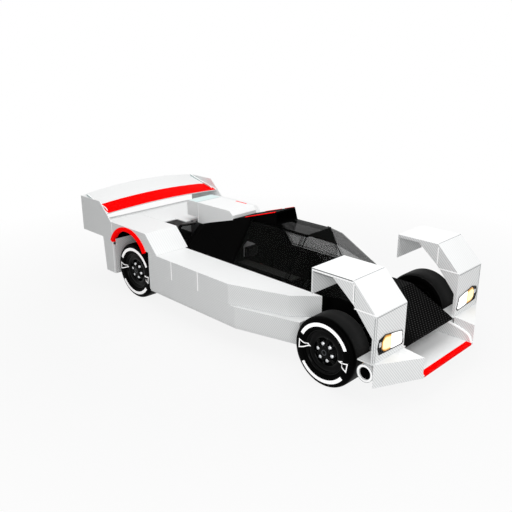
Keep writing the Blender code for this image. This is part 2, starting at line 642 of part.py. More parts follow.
def windscreen(glass):
    """Faceted screen: two header corners, a raised middle point, shoulders and a bowed foot."""
    x0 = HEADER_X + SEAM
    foot = BELT_Z + SEAM
    right = [(x0, -ROOF_EDGE, ROOF_Z), (x0, -side_at(foot), foot),
             (SCREEN_FOOT_X - 0.320, 0.003 - BELT_Y, foot),
             (SCREEN_FOOT_X - 0.120, 0.083 - BELT_Y, foot),
             (x0 + 0.1216, -ROOF_EDGE - 0.062, ROOF_Z - 0.052)]
    middle = [(SCREEN_MIDDLE_X, 0.0, ROOF_Z - 0.089), (SCREEN_FOOT_X, 0.0, foot)]
    left = [(x, -y, z) for x, y, z in right]
    verts = right + middle + left
    half = [[0, 1, 4], [1, 2, 4], [2, 3, 4], [0, 4, 5], [4, 3, 5], [3, 6, 5]]
    other = {0: 7, 1: 8, 2: 9, 3: 10, 4: 11, 5: 5, 6: 6}
    faces = half + [[other[i] for i in reversed(face)] for face in half] + [[0, 5, 7]]
    shell("windscreen", verts, faces, 0.008, glass)


def door(side, name, carbon, glass):
    """Sloping side door hung on the roof edge: a black frame with a smoked pane in it."""
    top = np.array([ROOF_EDGE + 0.0065, ROOF_Z - 0.0040])
    foot = np.array([BELT_Y - 0.006, BELT_Z + 0.0105])
    run = (foot - top) / np.linalg.norm(foot - top)
    inward = np.array([run[1], -run[0]])
    thick = 0.008
    border = 0.032

    def corner(x, point, depth):
        spot = point + depth * inward
        return (x, side * spot[0], spot[1])

    def ring(x0, x1, upper, lower, depth):
        return [corner(x0, upper, depth), corner(x1, upper, depth), corner(x1, lower, depth),
                corner(x0, lower, depth)]

    outer = [ring(DOOR_BACK_X, DOOR_FRONT_X, top, foot, d) for d in (0.0, thick)]
    inner = [ring(DOOR_BACK_X + border, DOOR_FRONT_X - border, top + border * run,
                  foot - border * run, d) for d in (0.0, thick)]
    verts = outer[0] + outer[1] + inner[0] + inner[1]
    faces = []
    for i in range(4):
        j = (i + 1) % 4
        faces += [[i, j, 4 + j, 4 + i], [8 + i, 8 + j, 12 + j, 12 + i], [i, j, 8 + j, 8 + i],
                  [4 + i, 4 + j, 12 + j, 12 + i]]
    frame = make("door_frame" + name, verts, faces, carbon)
    eye = [(side * y, z) for y, z in round_outline(HINGE_Y, HINGE_Z, HINGE_EYE, 16)]
    bore = [(side * y, z) for y, z in round_outline(HINGE_Y, HINGE_Z, HINGE_PIN + RUNNING_GAP, 12)]
    for number, (x0, x1) in enumerate(((DOOR_BACK_X, DOOR_BACK_X + 0.012),
                                       (DOOR_FRONT_X - 0.012, DOOR_FRONT_X))):
        join(frame, prism("eye%s_%d" % (name, number), "x", eye, x0, x1, carbon))
        cut(frame, prism("bore%s_%d" % (name, number), "x", bore, x0 - 0.01, x1 + 0.01, carbon))
    edge = border + SEAM
    pane = [ring(DOOR_BACK_X + edge, DOOR_FRONT_X - edge, top + edge * run, foot - edge * run, d)
            for d in (0.0015, thick - 0.0015)]
    window = loft("door_pane" + name, pane, glass)
    for part in (frame, window):
        set_pivot(part, (DOOR_BACK_X, side * HINGE_Y, HINGE_Z))


def canopy_rear(carbon):
    """Black flanks and ramp behind the cockpit, open round the engine cover."""
    def ring(x, grow):
        foot = BELT_Z + SEAM - (0.05 if grow else 0.0)
        wide = BELT_Y - SEAM if x > REAR_FOOT_X + 0.010 else TUNNEL_Y - 0.0015
        top = ramp(x) - grow
        narrow = SCOOP_HALF if x > CANOPY_FRONT_X - 0.070 else COVER_HALF + 0.003
        lean = (wide - narrow) / (ramp(x) - BELT_Z)
        low = wide - grow * 1.2 + (lean * 0.05 if grow else 0.0)
        high = narrow - grow * 0.4
        return [(x, low, foot), (x, high, top), (x, -high, top), (x, -low, foot)]

    stations = (CANOPY_FRONT_X, REAR_FOOT_X + 0.040, REAR_FOOT_X + 0.002, CANOPY_BACK_X)
    body = loft("canopy_rear", [ring(x, 0.0) for x in stations], carbon, mirrored=True)
    inner = [ring(x, SKIN) for x in stations]
    inner[0] = [(CANOPY_FRONT_X + 0.05, y, z) for _, y, z in inner[0]]
    inner[3] = [(CANOPY_BACK_X - 0.05, y, z) for _, y, z in inner[3]]
    cut(body, loft("canopy_rear_hollow", inner, carbon, mirrored=True))
    wide = COVER_HALF + 0.001
    cut(body, prism("cover_gap", "z", [(CANOPY_BACK_X - 0.1, -wide), (COVER_FRONT_X + 0.001, -wide),
                                       (COVER_FRONT_X + 0.001, wide), (CANOPY_BACK_X - 0.1, wide)],
                    BELT_Z - 0.1, ROOF_Z + 0.1, carbon))


def scoop(carbon):
    """Roof intake with an open mouth."""
    foot = ROOF_Z + SEAM
    front_low = SCOOP_LIP_X + 0.024
    lip = SCOOP_HALF - 0.024
    back = CANOPY_FRONT_X + SEAM

    def ring(x_low, x_high, low, high, grow, z_low, z_high):
        return [(x_low, low - grow, z_low), (x_high, high - grow, z_high),
                (x_high, -high + grow, z_high), (x_low, -low + grow, z_low)]

    body = loft("roof_scoop",
                [ring(front_low, SCOOP_LIP_X, SCOOP_HALF, lip, 0.0, foot, SCOOP_LIP_Z),
                 ring(back, back, SCOOP_HALF, SCOOP_HALF - 0.004, 0.0, foot, ramp(back))], carbon)
    wall = 0.010
    deep = CANOPY_FRONT_X + 0.090
    mouth = [ring(front_low + 0.03, SCOOP_LIP_X + 0.03, SCOOP_HALF, lip, wall * 1.4, foot + wall,
                  SCOOP_LIP_Z - wall),
             ring(deep, deep, lip - 0.012, lip - 0.014, 0.0, foot + wall, foot + 0.030)]
    cut(body, loft("scoop_mouth", mouth, carbon))


def engine_cover(paint):
    """White box over the engine, stepped up at its rear end."""
    foot = REAR_TOP_Z + 0.005
    outline = [(COVER_BACK_X, foot + 0.065), (COVER_BACK_X, COVER_TOP_Z - 0.012),
               (COVER_BACK_X + 0.020, COVER_TOP_Z), (COVER_FRONT_X - 0.060, COVER_TOP_Z),
               (COVER_FRONT_X, COVER_TOP_Z - 0.050), (COVER_FRONT_X, foot),
               (COVER_BACK_X + 0.210, foot), (COVER_BACK_X + 0.210, foot + 0.065)]
    body = prism("engine_cover", "y", outline, -COVER_HALF, COVER_HALF, paint)
    inside = [(COVER_BACK_X - 0.05, foot - 0.05), (COVER_BACK_X - 0.05, foot + 0.085),
              (COVER_BACK_X + SKIN, foot + 0.085), (COVER_BACK_X + SKIN, COVER_TOP_Z - SKIN),
              (COVER_FRONT_X - 0.065, COVER_TOP_Z - SKIN), (COVER_FRONT_X - SKIN, COVER_TOP_Z - 0.055),
              (COVER_FRONT_X - SKIN, foot - 0.05)]
    cut(body, prism("cover_hollow", "y", inside, -COVER_HALF + SKIN, COVER_HALF - SKIN, paint))


def power_unit(metal):
    """Plain block for the engine with the gearbox behind it."""
    back = COVER_BACK_X + 0.070
    front = TUB_BACK_X - 0.020
    body = prism("power_unit", "z", [(back, -COVER_HALF), (front, -COVER_HALF), (front, COVER_HALF),
                                     (back, COVER_HALF)],
                 SILL_BOTTOM + SEAM, REAR_TOP_Z + 0.0045, metal)
    tail = REAR_END_X + 0.100
    box = prism("gearbox", "z", [(tail, -GEARBOX_HALF), (back + 0.020, -GEARBOX_HALF),
                                 (back + 0.020, GEARBOX_HALF), (tail, GEARBOX_HALF)],
                SILL_BOTTOM + 0.060, BELT_Z - 0.080, metal)
    join(body, box)


def rear_fender(side, name, paint):
    """Rear wheel housing: flat top, front slope, outer wall with its arch and rear post."""
    foot = BELT_Z + SEAM
    outline = [(REAR_END_X, SILL_BOTTOM), (REAR_END_X, REAR_TOP_Z), (REAR_KNEE_X, REAR_TOP_Z),
               (REAR_FOOT_X, foot), (WELL_BACK_X, foot), (WELL_BACK_X, SILL_BOTTOM)]
    inner = TUNNEL_Y + SEAM
    low, high = band(side, inner, REAR_WALL_Y)
    body = prism("rear_fender" + name, "y", outline, low, high, paint)
    low, high = band(side, PLATE_INNER_Y - SEAM, SIDE_Y + 0.05)
    edge = PLATE_FRONT_X + SEAM
    cut(body, prism("plate_seat" + name, "y", [(REAR_END_X - 0.1, 0.1), (edge, 0.1), (edge, 1.2),
                                               (REAR_END_X - 0.1, 1.2)], low, high, paint))
    well = [(WELL_BACK_X + SKIN, foot - 0.05), (WELL_BACK_X + SKIN, REAR_TOP_Z - SKIN),
            (REAR_KNEE_X - 0.008, REAR_TOP_Z - SKIN), (REAR_FOOT_X - 0.020, foot - 0.001),
            (REAR_FOOT_X - 0.020, foot - 0.05)]
    low, high = band(side, inner - 0.05, REAR_WALL_Y - SKIN)
    cut(body, prism("rear_well" + name, "y", well, low, high, paint))
    low, high = band(side, inner - 0.05, PLATE_INNER_Y - SKIN)
    post = [(REAR_END_X + SKIN, SILL_BOTTOM + SKIN), (REAR_END_X + SKIN, REAR_TOP_Z - SKIN),
            (WELL_BACK_X - SKIN, REAR_TOP_Z - SKIN), (WELL_BACK_X - SKIN, SILL_BOTTOM + SKIN)]
    cut(body, prism("post_hollow" + name, "y", post, low, high, paint))
    arch = round_outline(ARCH_X, ARCH_Z, ARCH_RADIUS, 18, 20.0, 160.0)
    low, high = band(side, REAR_WALL_Y - 0.030, SIDE_Y + 0.05)
    cut(body, prism("arch_hole" + name, "y", arch, low, high, paint))


def rear_deck(paint):
    """Flat deck between the rear fenders with a notch each side of the cover, and the tail wall."""
    half = TUNNEL_Y - SEAM
    notch = COVER_HALF + 0.070
    front = COVER_BACK_X + 0.050
    side = COVER_BACK_X - 0.140
    outline = [(REAR_END_X, -half), (side, -half), (side, -notch), (front, -notch),
               (front, notch), (side, notch), (side, half), (REAR_END_X, half)]
    body = prism("rear_deck", "z", outline, REAR_TOP_Z - 0.015, REAR_TOP_Z, paint)
    low = REAR_TOP_Z - 0.480
    join(body, prism("tail_wall", "z", [(REAR_END_X, -half), (REAR_END_X + 0.015, -half),
                                        (REAR_END_X + 0.015, half), (REAR_END_X, half)],
                     low, REAR_TOP_Z - 0.005, paint))


def endplate(side, name, paint):
    """Upright plate that carries the wing and closes the rear post."""
    low = REAR_TOP_Z - 0.240
    high = REAR_TOP_Z + 0.230
    outline = [(-HALF_LENGTH, low), (REAR_END_X - 0.020, low), (REAR_END_X + 0.017, SILL_BOTTOM),
               (PLATE_FRONT_X, SILL_BOTTOM), (PLATE_FRONT_X, REAR_TOP_Z - 0.007),
               (PLATE_FRONT_X - 0.124, REAR_TOP_Z + 0.115), (REAR_END_X - 0.045, high),
               (-HALF_LENGTH, high - 0.002)]
    low, high = band(side, PLATE_INNER_Y, SIDE_Y)
    prism("endplate" + name, "y", outline, low, high, paint)


def wing(paint):
    """Arched wing between the endplates, highest at its trailing edge in the middle."""
    half = PLATE_INNER_Y - SEAM
    x0 = REAR_END_X + 0.095
    x1 = -HALF_LENGTH
    rings = []
    for step in range(13):
        share = -1.0 + step / 6.0
        rise = 1.0 - share * share
        lead = REAR_TOP_Z + 0.088 + 0.033 * rise
        trail = REAR_TOP_Z + 0.226 + 0.071 * rise
        y = share * half
        rings.append([(x0, y, lead), (x0 - 0.030, y, lead + 0.010),
                      (x1, y, trail), (x1, y, trail - 0.008),
                      (x0 - 0.295, y, (lead + trail) / 2 - 0.030), (x0 - 0.030, y, lead - 0.022)])
    loft("rear_wing", rings, paint)


def seat(shell_slot):
    """Reclined bucket seat on the right of the tub."""
    x = TUB_BACK_X + 0.390
    low = SILL_BOTTOM + 0.030 + SEAM
    outline = [(x, BELT_Z - 0.060), (x + 0.050, BELT_Z - 0.060), (x + 0.270, low + 0.0666),
               (x + 0.600, low + 0.0666), (x + 0.700, low + 0.1366), (x + 0.720, low + 0.1166),
               (x + 0.620, low), (x + 0.200, low)]
    prism("seat", "y", outline, 0.093 - BELT_Y, -0.020, shell_slot)


def dash(carbon):
    """Cross beam between the tub's walls with a cowl."""
    half = BELT_Y - SEAM - 0.045 - SEAM
    x = TUB_FRONT_X - 0.270
    prism("dash", "y", [(x, BELT_Z - 0.140), (x, BELT_Z - 0.040), (x + 0.050, BELT_Z - 0.015),
                        (x + 0.180, BELT_Z - 0.040), (x + 0.180, BELT_Z - 0.140)],
          -half, half, carbon)


def steering_wheel(carbon):
    """Flat-topped steering wheel with its column."""
    centre = (TUB_FRONT_X - 0.370, 0.293 - BELT_Y, BELT_Z - 0.060)
    rim = [(centre[1] - 0.130, centre[2] - 0.075), (centre[1] + 0.130, centre[2] - 0.075),
           (centre[1] + 0.150, centre[2]), (centre[1] + 0.130, centre[2] + 0.070),
           (centre[1] - 0.130, centre[2] + 0.070), (centre[1] - 0.150, centre[2])]
    body = prism("steering_wheel", "x", rim, centre[0] - 0.014, centre[0] + 0.014, carbon)
    column = [(centre[1] + 0.025 * math.cos(math.radians(a)),
               centre[2] - 0.010 + 0.025 * math.sin(math.radians(a))) for a in range(0, 360, 45)]
    join(body, prism("column", "x", column, centre[0], TUB_FRONT_X - 0.270 - SEAM, carbon))


def build():
    """Build every node of the car."""
    clear_scene()
    white = material("white_panel", WHITE, 0.35)
    black = material("black_carbon", BLACK, 0.45)
    glass = material("smoked_glass", GLASS, 0.08)
    metal = material("machined_metal", METAL, 0.35, 0.9)
    rubber = material("tyre_rubber", TYRE, 0.75)
    lens = material("lamp_lens", LAMP, 0.1)
    floor(black)
    diffuser(black)
    tub(black)
    nose(black)
    splitter(white)
    canopy_frame(black)
    roof(glass)
    windscreen(glass)
    canopy_rear(black)
    scoop(black)
    engine_cover(white)
    power_unit(metal)
    rear_deck(white)
    wing(white)
    seat(black)
    dash(black)
    steering_wheel(black)
    for name, side in sides(""):
        front_fender(side, name, white)
        lamp(side, name, lens)
        corner_block(side, name, white)
        shelf_and_duct(side, name, white)
        pod(side, name, white)
        sill(side, name, white)
        rear_fender(side, name, white)
        endplate(side, name, white)
        door(side, name, black, glass)
        front_corner(side, name, metal)
        rear_corner(side, name, metal)
        wheel("front" + name, FRONT_AXLE_X, FRONT_TYRE_FACE, FRONT_TYRE_WIDTH, side, rubber, black)
        wheel("rear" + name, REAR_AXLE_X, REAR_TYRE_FACE, REAR_TYRE_WIDTH, side, rubber, black)


build()
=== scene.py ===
"""Looks of the endurance racing hypercar, built round its CAD frame. Metres, +X forward, +Z up."""

import json
import math

import bmesh
import bpy
import numpy as np
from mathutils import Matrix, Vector

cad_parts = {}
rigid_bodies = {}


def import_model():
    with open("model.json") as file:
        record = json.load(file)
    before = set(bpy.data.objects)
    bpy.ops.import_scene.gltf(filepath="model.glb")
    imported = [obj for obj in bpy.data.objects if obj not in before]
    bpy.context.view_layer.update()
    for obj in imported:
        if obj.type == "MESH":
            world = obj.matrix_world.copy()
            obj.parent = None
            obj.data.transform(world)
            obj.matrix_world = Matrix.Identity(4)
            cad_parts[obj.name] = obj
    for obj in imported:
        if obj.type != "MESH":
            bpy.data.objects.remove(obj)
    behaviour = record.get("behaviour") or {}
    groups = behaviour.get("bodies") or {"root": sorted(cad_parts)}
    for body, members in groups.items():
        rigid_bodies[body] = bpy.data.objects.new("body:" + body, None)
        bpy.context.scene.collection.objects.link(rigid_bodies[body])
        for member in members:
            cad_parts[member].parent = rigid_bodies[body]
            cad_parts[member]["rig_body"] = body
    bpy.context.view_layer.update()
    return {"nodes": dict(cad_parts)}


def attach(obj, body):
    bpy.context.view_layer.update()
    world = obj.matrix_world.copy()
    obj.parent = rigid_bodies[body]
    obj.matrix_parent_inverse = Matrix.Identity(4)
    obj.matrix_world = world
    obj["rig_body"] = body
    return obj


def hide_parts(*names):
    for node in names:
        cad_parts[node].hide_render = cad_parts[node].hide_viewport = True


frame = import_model()
NODES = frame["nodes"]
HANDS = (("_right", -1.0), ("_left", 1.0))

TYRE_RADIUS = 0.355
BEAD_RADIUS = 0.2286
SHOULDER_RADIUS = 0.333
FENDER_FACE = 0.9582
SIDE_FACE = 0.9652
LAMP_X = 2.2752
DRIVER_Y = -0.22


# Shapes: every surface is a grid of points, and its cells are quads.

def grid_faces(rows, columns, wrap_rows, wrap_columns, first):
    """Corner numbers of every cell: cell (i, j) joins i and i + 1 with j and j + 1, modulo where wrapped."""
    i = np.arange(rows if wrap_rows else rows - 1)[:, None]
    j = np.arange(columns if wrap_columns else columns - 1)[None, :]
    k, m = (i + 1) % rows, (j + 1) % columns
    corners = [i * columns + j, i * columns + m, k * columns + m, k * columns + j]
    return np.stack(corners, axis=-1).reshape(-1, 4) + first


def merged(mesh, solid):
    """Merge doubles; then join a CAD solid's flat triangles, or turn a made surface's faces outward."""
    work = bmesh.new()
    work.from_mesh(mesh)
    bmesh.ops.remove_doubles(work, verts=work.verts, dist=2e-5)
    if solid:
        bmesh.ops.dissolve_limit(work, angle_limit=math.radians(0.6), verts=work.verts, edges=work.edges)
    else:
        bmesh.ops.dissolve_degenerate(work, edges=work.edges, dist=1e-6)
        bmesh.ops.recalc_face_normals(work, faces=work.faces)
    work.to_mesh(mesh)
    work.free()


def placed(name, data):
    """A new object in the scene."""
    thing = bpy.data.objects.new(name, data)
    bpy.context.scene.collection.objects.link(thing)
    return thing


def hang(name, mesh, finish, smooth, bevel, body):
    """The object of a mesh: shaded, its sharp edges rounded, and on its body."""
    thing = placed(name, mesh)
    mesh.materials.append(finish)
    mesh.shade_smooth()
    mesh.set_sharp_from_angle(angle=math.radians(smooth))
    if bevel:
        edge = thing.modifiers.new("edge", "BEVEL")
        edge.width = bevel
        edge.segments = 2
        edge.limit_method = "ANGLE"
        edge.angle_limit = math.radians(20)
        edge.harden_normals = True
    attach(thing, body)
    return thing


def piece(name, grids, finish, smooth=30.0, bevel=0.0, body="body", node=None):
    """One object from grids of (points, wrap_rows, wrap_columns), which may stand for a CAD node."""
    points, faces, spots, first = [], [], [], 0
    for values, wrap_rows, wrap_columns in grids:
        rows, columns = values.shape[:2]
        points.append(values.reshape(-1, 3))
        faces.append(grid_faces(rows, columns, wrap_rows, wrap_columns, first))
        u, v = np.meshgrid(np.linspace(0, 1, rows), np.linspace(0, 1, columns), indexing="ij")
        spots.append(np.stack([u, v], axis=-1).reshape(-1, 2))
        first += rows * columns
    mesh = bpy.data.meshes.new(name)
    mesh.from_pydata(np.concatenate(points), [], np.concatenate(faces).tolist())
    layer = mesh.uv_layers.new(name="surface")
    corner = np.zeros(len(mesh.loops), np.int32)
    mesh.loops.foreach_get("vertex_index", corner)
    layer.data.foreach_set("uv", np.concatenate(spots)[corner].astype(np.float32).ravel())
    merged(mesh, False)
    thing = hang(name, mesh, finish, smooth, bevel, body)
    if node:
        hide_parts(node)
    return thing


def dress(node, finish, width=0.002):
    """A merged copy of a CAD node with softened edges, which stands for that node."""
    mesh = NODES[node].data.copy()
    mesh.name = node + "_skin"
    for name in [layer.name for layer in mesh.attributes if layer.name == "custom_normal"]:
        mesh.attributes.remove(mesh.attributes[name])
    merged(mesh, True)
    mesh.materials.clear()
    thing = hang(node + "_skin", mesh, finish, 12, width, NODES[node]["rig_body"])
    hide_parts(node)


def keep(node, finish):
    """A CAD node that stays as it is, in a better finish."""
    NODES[node].data.materials.clear()
    NODES[node].data.materials.append(finish)


def unit(vectors):
    """The same directions at length 1."""
    return vectors / np.linalg.norm(vectors, axis=-1, keepdims=True)


def around(steps):
    """Angles once round, without the last one, which is the first again."""
    return np.linspace(0.0, 2 * math.pi, steps, endpoint=False)


def squared(wave, power):
    """A sine or cosine w drawn toward a square: its sign times |w| to a power below 1."""
    return np.sign(wave) * np.abs(wave) ** power


def capped(grid):
    """A tube's rows, closed at each end by a row of points at the end row's middle."""
    middles = [row.mean(axis=0) for row in (grid[0], grid[-1])]
    ends = [np.repeat(middle[None, None], grid.shape[1], axis=1) for middle in middles]
    return np.concatenate([ends[0], grid, ends[1]]), False, True


def on_wheel(x, depth, z, centre, side):
    """Points x and z from a wheel's axis, at an inward depth from its face."""
    return np.stack([centre[0] + x, centre[1] - side * depth + 0 * x, centre[2] + z], axis=-1)


def swept(radius, depth, centre, side, turn):
    """Points r cos t, inward depth d, r sin t about a wheel's Y axis."""
    turn = turn[:, None]
    return on_wheel(radius * np.cos(turn), depth, radius * np.sin(turn), centre, side)


def turned(profile, centre, side, steps=72, closed=True):
    """A profile of (radius, inward depth) rows, turned once round a wheel's axis."""
    turn = np.radians(np.linspace(0.0, 360.0, steps, endpoint=False))
    return swept(*np.asarray(profile, float).T, centre, side, turn), True, closed


def arc(profile, centre, side, start, stop, steps):
    """A closed profile of (radius, inward depth) rows, turned part of the way and capped."""
    turn = np.radians(np.linspace(start, stop, steps))
    return capped(swept(*np.asarray(profile, float).T, centre, side, turn))


def studs(rows, places, axis, steps):
    """Small turned parts, one at each place: (radius, height) rows turned about an axis."""
    radius, height = np.asarray(rows, float).T
    turn = around(steps)[:, None]
    ring = [radius * np.cos(turn), radius * np.sin(turn)]
    ring.insert("xyz".index(axis), height + 0 * turn)
    return [(np.stack(ring, axis=-1) + place, True, False) for place in places]


def carried(profile, path, up, loop=False):
    """A profile of (across, up) offsets carried along a path, mitred at corners and closed at its ends."""
    path = np.asarray(path, float)
    profile = np.asarray(profile, float)
    up = unit(np.asarray(up, float))
    ahead = np.roll(path, -1, axis=0) - path
    behind = path - np.roll(path, 1, axis=0)
    if not loop:
        ahead[-1] = behind[-1]
        behind[0] = ahead[0]
    ahead, behind = unit(ahead), unit(behind)
    right = unit(np.cross(ahead, up))
    across = unit(right + unit(np.cross(behind, up)))
    across /= np.clip(np.sum(across * right, axis=1), 0.35, 1.0)[:, None]
    lift = unit(np.cross(across, ahead + behind))
    lift *= np.sign(lift @ up)[:, None]
    grid = (path[:, None, :] + across[:, None, :] * profile[None, :, 0, None]
            + lift[:, None, :] * profile[None, :, 1, None])
    return (grid, True, True) if loop else capped(grid)


def half_round(wide, high, steps=7):
    """A closed half-round profile: across is w cos t, up is h sin t, with t from 0 to 180 degrees."""
    turn = np.linspace(0.0, math.pi, steps)
    return np.stack([wide / 2 * np.cos(turn), high * np.sin(turn)], axis=1)


def round_bar(radius, steps):
    """A closed circle of offsets: r cos t, r sin t."""
    return np.stack([radius * np.cos(around(steps)), radius * np.sin(around(steps))], axis=1)


def curve_through(points, steps):
    """A smooth path through points: cubic spans, with slopes by central differences over their knots."""
    points = np.asarray(points, float)
    gaps = np.linalg.norm(np.diff(points, axis=0), axis=1) ** 0.5
    knots = np.concatenate([[0.0], np.cumsum(gaps)])
    slope = np.gradient(points, knots, axis=0)
    at = np.linspace(0.0, knots[-1], steps)
    k = np.clip(np.searchsorted(knots, at, side="right") - 1, 0, len(knots) - 2)
    width = (knots[k + 1] - knots[k])[:, None]
    t = ((at - knots[k])[:, None]) / width
    return ((2 * t ** 3 - 3 * t ** 2 + 1) * points[k] + (t ** 3 - 2 * t ** 2 + t) * width * slope[k]
            + (3 * t ** 2 - 2 * t ** 3) * points[k + 1] + (t ** 3 - t ** 2) * width * slope[k + 1])


def slab(outline, low, high, axis, inset=0.001):
    """A plate over a convex outline: rings of full and inset size, closed to the middle on both sides."""
    outline = np.asarray(outline, float)
    middle = outline.mean(axis=0)
    reach = np.linalg.norm(outline - middle, axis=1).mean()
    small = middle + (outline - middle) * (1 - inset / reach)
    shut = np.repeat(middle[None], len(outline), axis=0)
    rings = np.stack([shut, small, outline, outline, small, shut])
    level = np.array([low, low, low + inset, high - inset, high, high])[:, None, None] + 0 * rings[..., :1]
    order = {"x": (2, 0, 1), "y": (0, 2, 1), "z": (0, 1, 2)}[axis]
    return np.concatenate([rings, level], axis=-1)[..., order], False, True


def rod(name, path, radius, steps, finish, side):
    """A round bar along a path in a plane of constant y."""
    piece(name, [carried(round_bar(radius, steps), path, (0, side, 0))], finish, 60)


def oblong(a, b, c, d):
    """The corners of an oblong from (a, b) to (c, d)."""
    return [(a, b), (c, b), (c, d), (a, d)]


def on_side(y, way, *spans):
    """Straight lines on a plane of constant y, each given as x, z, x, z, that stand out the way given."""
    return [([(a, y, b), (c, y, d)], (0, way, 0)) for a, b, c, d in spans]


def strips(name, lines, wide, high, finish):
    """Half-round beads laid along straight or bent lines; each line is (points, up)."""
    piece(name, [carried(half_round(wide, high), line, up) for line, up in lines], finish, 60)


def closed_sheet(front, back):
    """Both skins of a sheet and the four rims between them."""
    sides = [(slice(None), 0), (slice(None), -1)]
    rims = [np.stack([front[place], back[place]]) for place in (0, -1, *sides)]
    return [(grid, False, False) for grid in (front, back, *rims)]


def pillow(sides, low, high, base, rise, rows=24, columns=14):
    """A bulging closed pane between two curves: x = base + rise (1 - (2u - 1)^6)(1 - (2v - 1)^4)."""
    u = np.linspace(0.0, 1.0, rows)[:, None]
    v = np.linspace(0.0, 1.0, columns)[None, :]
    y = sides[0] + (sides[1] - sides[0]) * u + 0 * v
    bottom, top = low(y), high(y)
    z = bottom + (top - bottom) * v
    x = base + rise * (1 - np.abs(2 * u - 1) ** 6) * (1 - np.abs(2 * v - 1) ** 4)
    front = np.stack([x, y, z], axis=-1)
    back = front.copy()
    back[..., 0] = base - 0.0006
    return closed_sheet(front, back)


# Finishes: each is named for the real one, and for the painted light it carries where it carries some.

def colour(code):
    """sRGB hex to linear: c / 12.92 up to 0.04045, and ((c + 0.055) / 1.055) to the power 2.4 above it."""
    value = np.array([int(code[i:i + 2], 16) for i in (1, 3, 5)]) / 255.0
    low = value / 12.92
    high = ((value + 0.055) / 1.055) ** 2.4
    return tuple(np.where(value <= 0.04045, low, high)) + (1.0,)


def add(tree, kind, inputs=None, **settings):
    """Add one node, set its properties, and fill its inputs."""
    made = tree.nodes.new(kind)
    for key, value in settings.items():
        setattr(made, key, value)
    return fill(made, inputs or {})


def fill(node, inputs):
    """Give each input of a node its value or its link."""
    for key, value in inputs.items():
        if isinstance(value, bpy.types.NodeSocket):
            node.id_data.links.new(value, node.inputs[key])
        else:
            node.inputs[key].default_value = value
    return node


def coat(name, code, rough, level=0.5, metal=0.0, **sockets):
    """A Principled material with uniform values on the shader's own sockets; level is the reflection's."""
    made = bpy.data.materials.new(name)
    made.use_nodes = True
    made.cycles.emission_sampling = "NONE"
    tree = made.node_tree
    shader = fill(tree.nodes["Principled BSDF"], {
        "Base Color": colour(code), "Roughness": rough, "Specular IOR Level": level, "Metallic": metal})
    fill(shader, {key.replace("_", " "): value for key, value in sockets.items()})
    return made, tree, shader


def maths(tree, kind, *values):
    """The result of one Math node."""
    return add(tree, "ShaderNodeMath", dict(enumerate(values)), operation=kind).outputs[0]


def ranged(tree, value, low, high, start=0.0, stop=1.0):
    """A value's way from start to stop, mapped to low to high and held there."""
    return add(tree, "ShaderNodeMapRange", {"Value": value, "From Min": start, "From Max": stop,
                                            "To Min": low, "To Max": high}).outputs[0]


def spot(tree, scale=(1, 1, 1)):
    """Object coordinates, scaled."""
    where = add(tree, "ShaderNodeTexCoord").outputs["Object"]
    return add(tree, "ShaderNodeMapping", {"Vector": where, "Scale": scale}).outputs["Vector"]


def axes(tree, vector=None):
    """The X, Y and Z sockets of a vector, or else of Object coordinates."""
    return add(tree, "ShaderNodeSeparateXYZ", {"Vector": vector or spot(tree)}).outputs


def facing(tree, kind="Normal"):
    """The X, Y and Z sockets of the surface normal."""
    return axes(tree, add(tree, "ShaderNodeNewGeometry").outputs[kind])


def noise(tree, scale, detail=4.0, vector=None):
    """Fractal noise over a vector, or else over Object coordinates."""
    return add(tree, "ShaderNodeTexNoise", {"Vector": vector or spot(tree), "Scale": scale,
                                            "Detail": detail}).outputs["Fac"]


def ribs(tree, scale, way="DIAGONAL"):
    """Cloth ribs: a sine along X, Y or x + y + z, from 0 to 1."""
    made = add(tree, "ShaderNodeTexWave", {"Vector": spot(tree), "Scale": scale}, bands_direction=way)
    return made.outputs["Fac"]


def blend(tree, factor, first, second):
    """Mix two colours by a factor; either may be a hex code."""
    first, second = (colour(c) if isinstance(c, str) else c for c in (first, second))
    return add(tree, "ShaderNodeMix", {0: factor, 6: first, 7: second}, data_type="RGBA").outputs[2]


def ramped(tree, value, *stops):
    """A colour ramp through (place, hex) stops."""
    made = add(tree, "ShaderNodeValToRGB", {"Fac": value})
    ramp = made.color_ramp
    while len(ramp.elements) < len(stops):
        ramp.elements.new(0.5)
    for element, (place, code) in zip(ramp.elements, stops):
        element.position = place
        element.color = colour(code)
    return made.outputs["Color"]


def bumped(tree, height, depth, strength):
    """The shader's normal, bumped by a height of a real depth in metres."""
    made = add(tree, "ShaderNodeBump", {"Height": height, "Distance": depth, "Strength": strength})
    return made.outputs["Normal"]


PANEL_WHITE, PANEL_RIB, STRIPE = "#F4F5F5", "#DADCDC", "#FF0000"


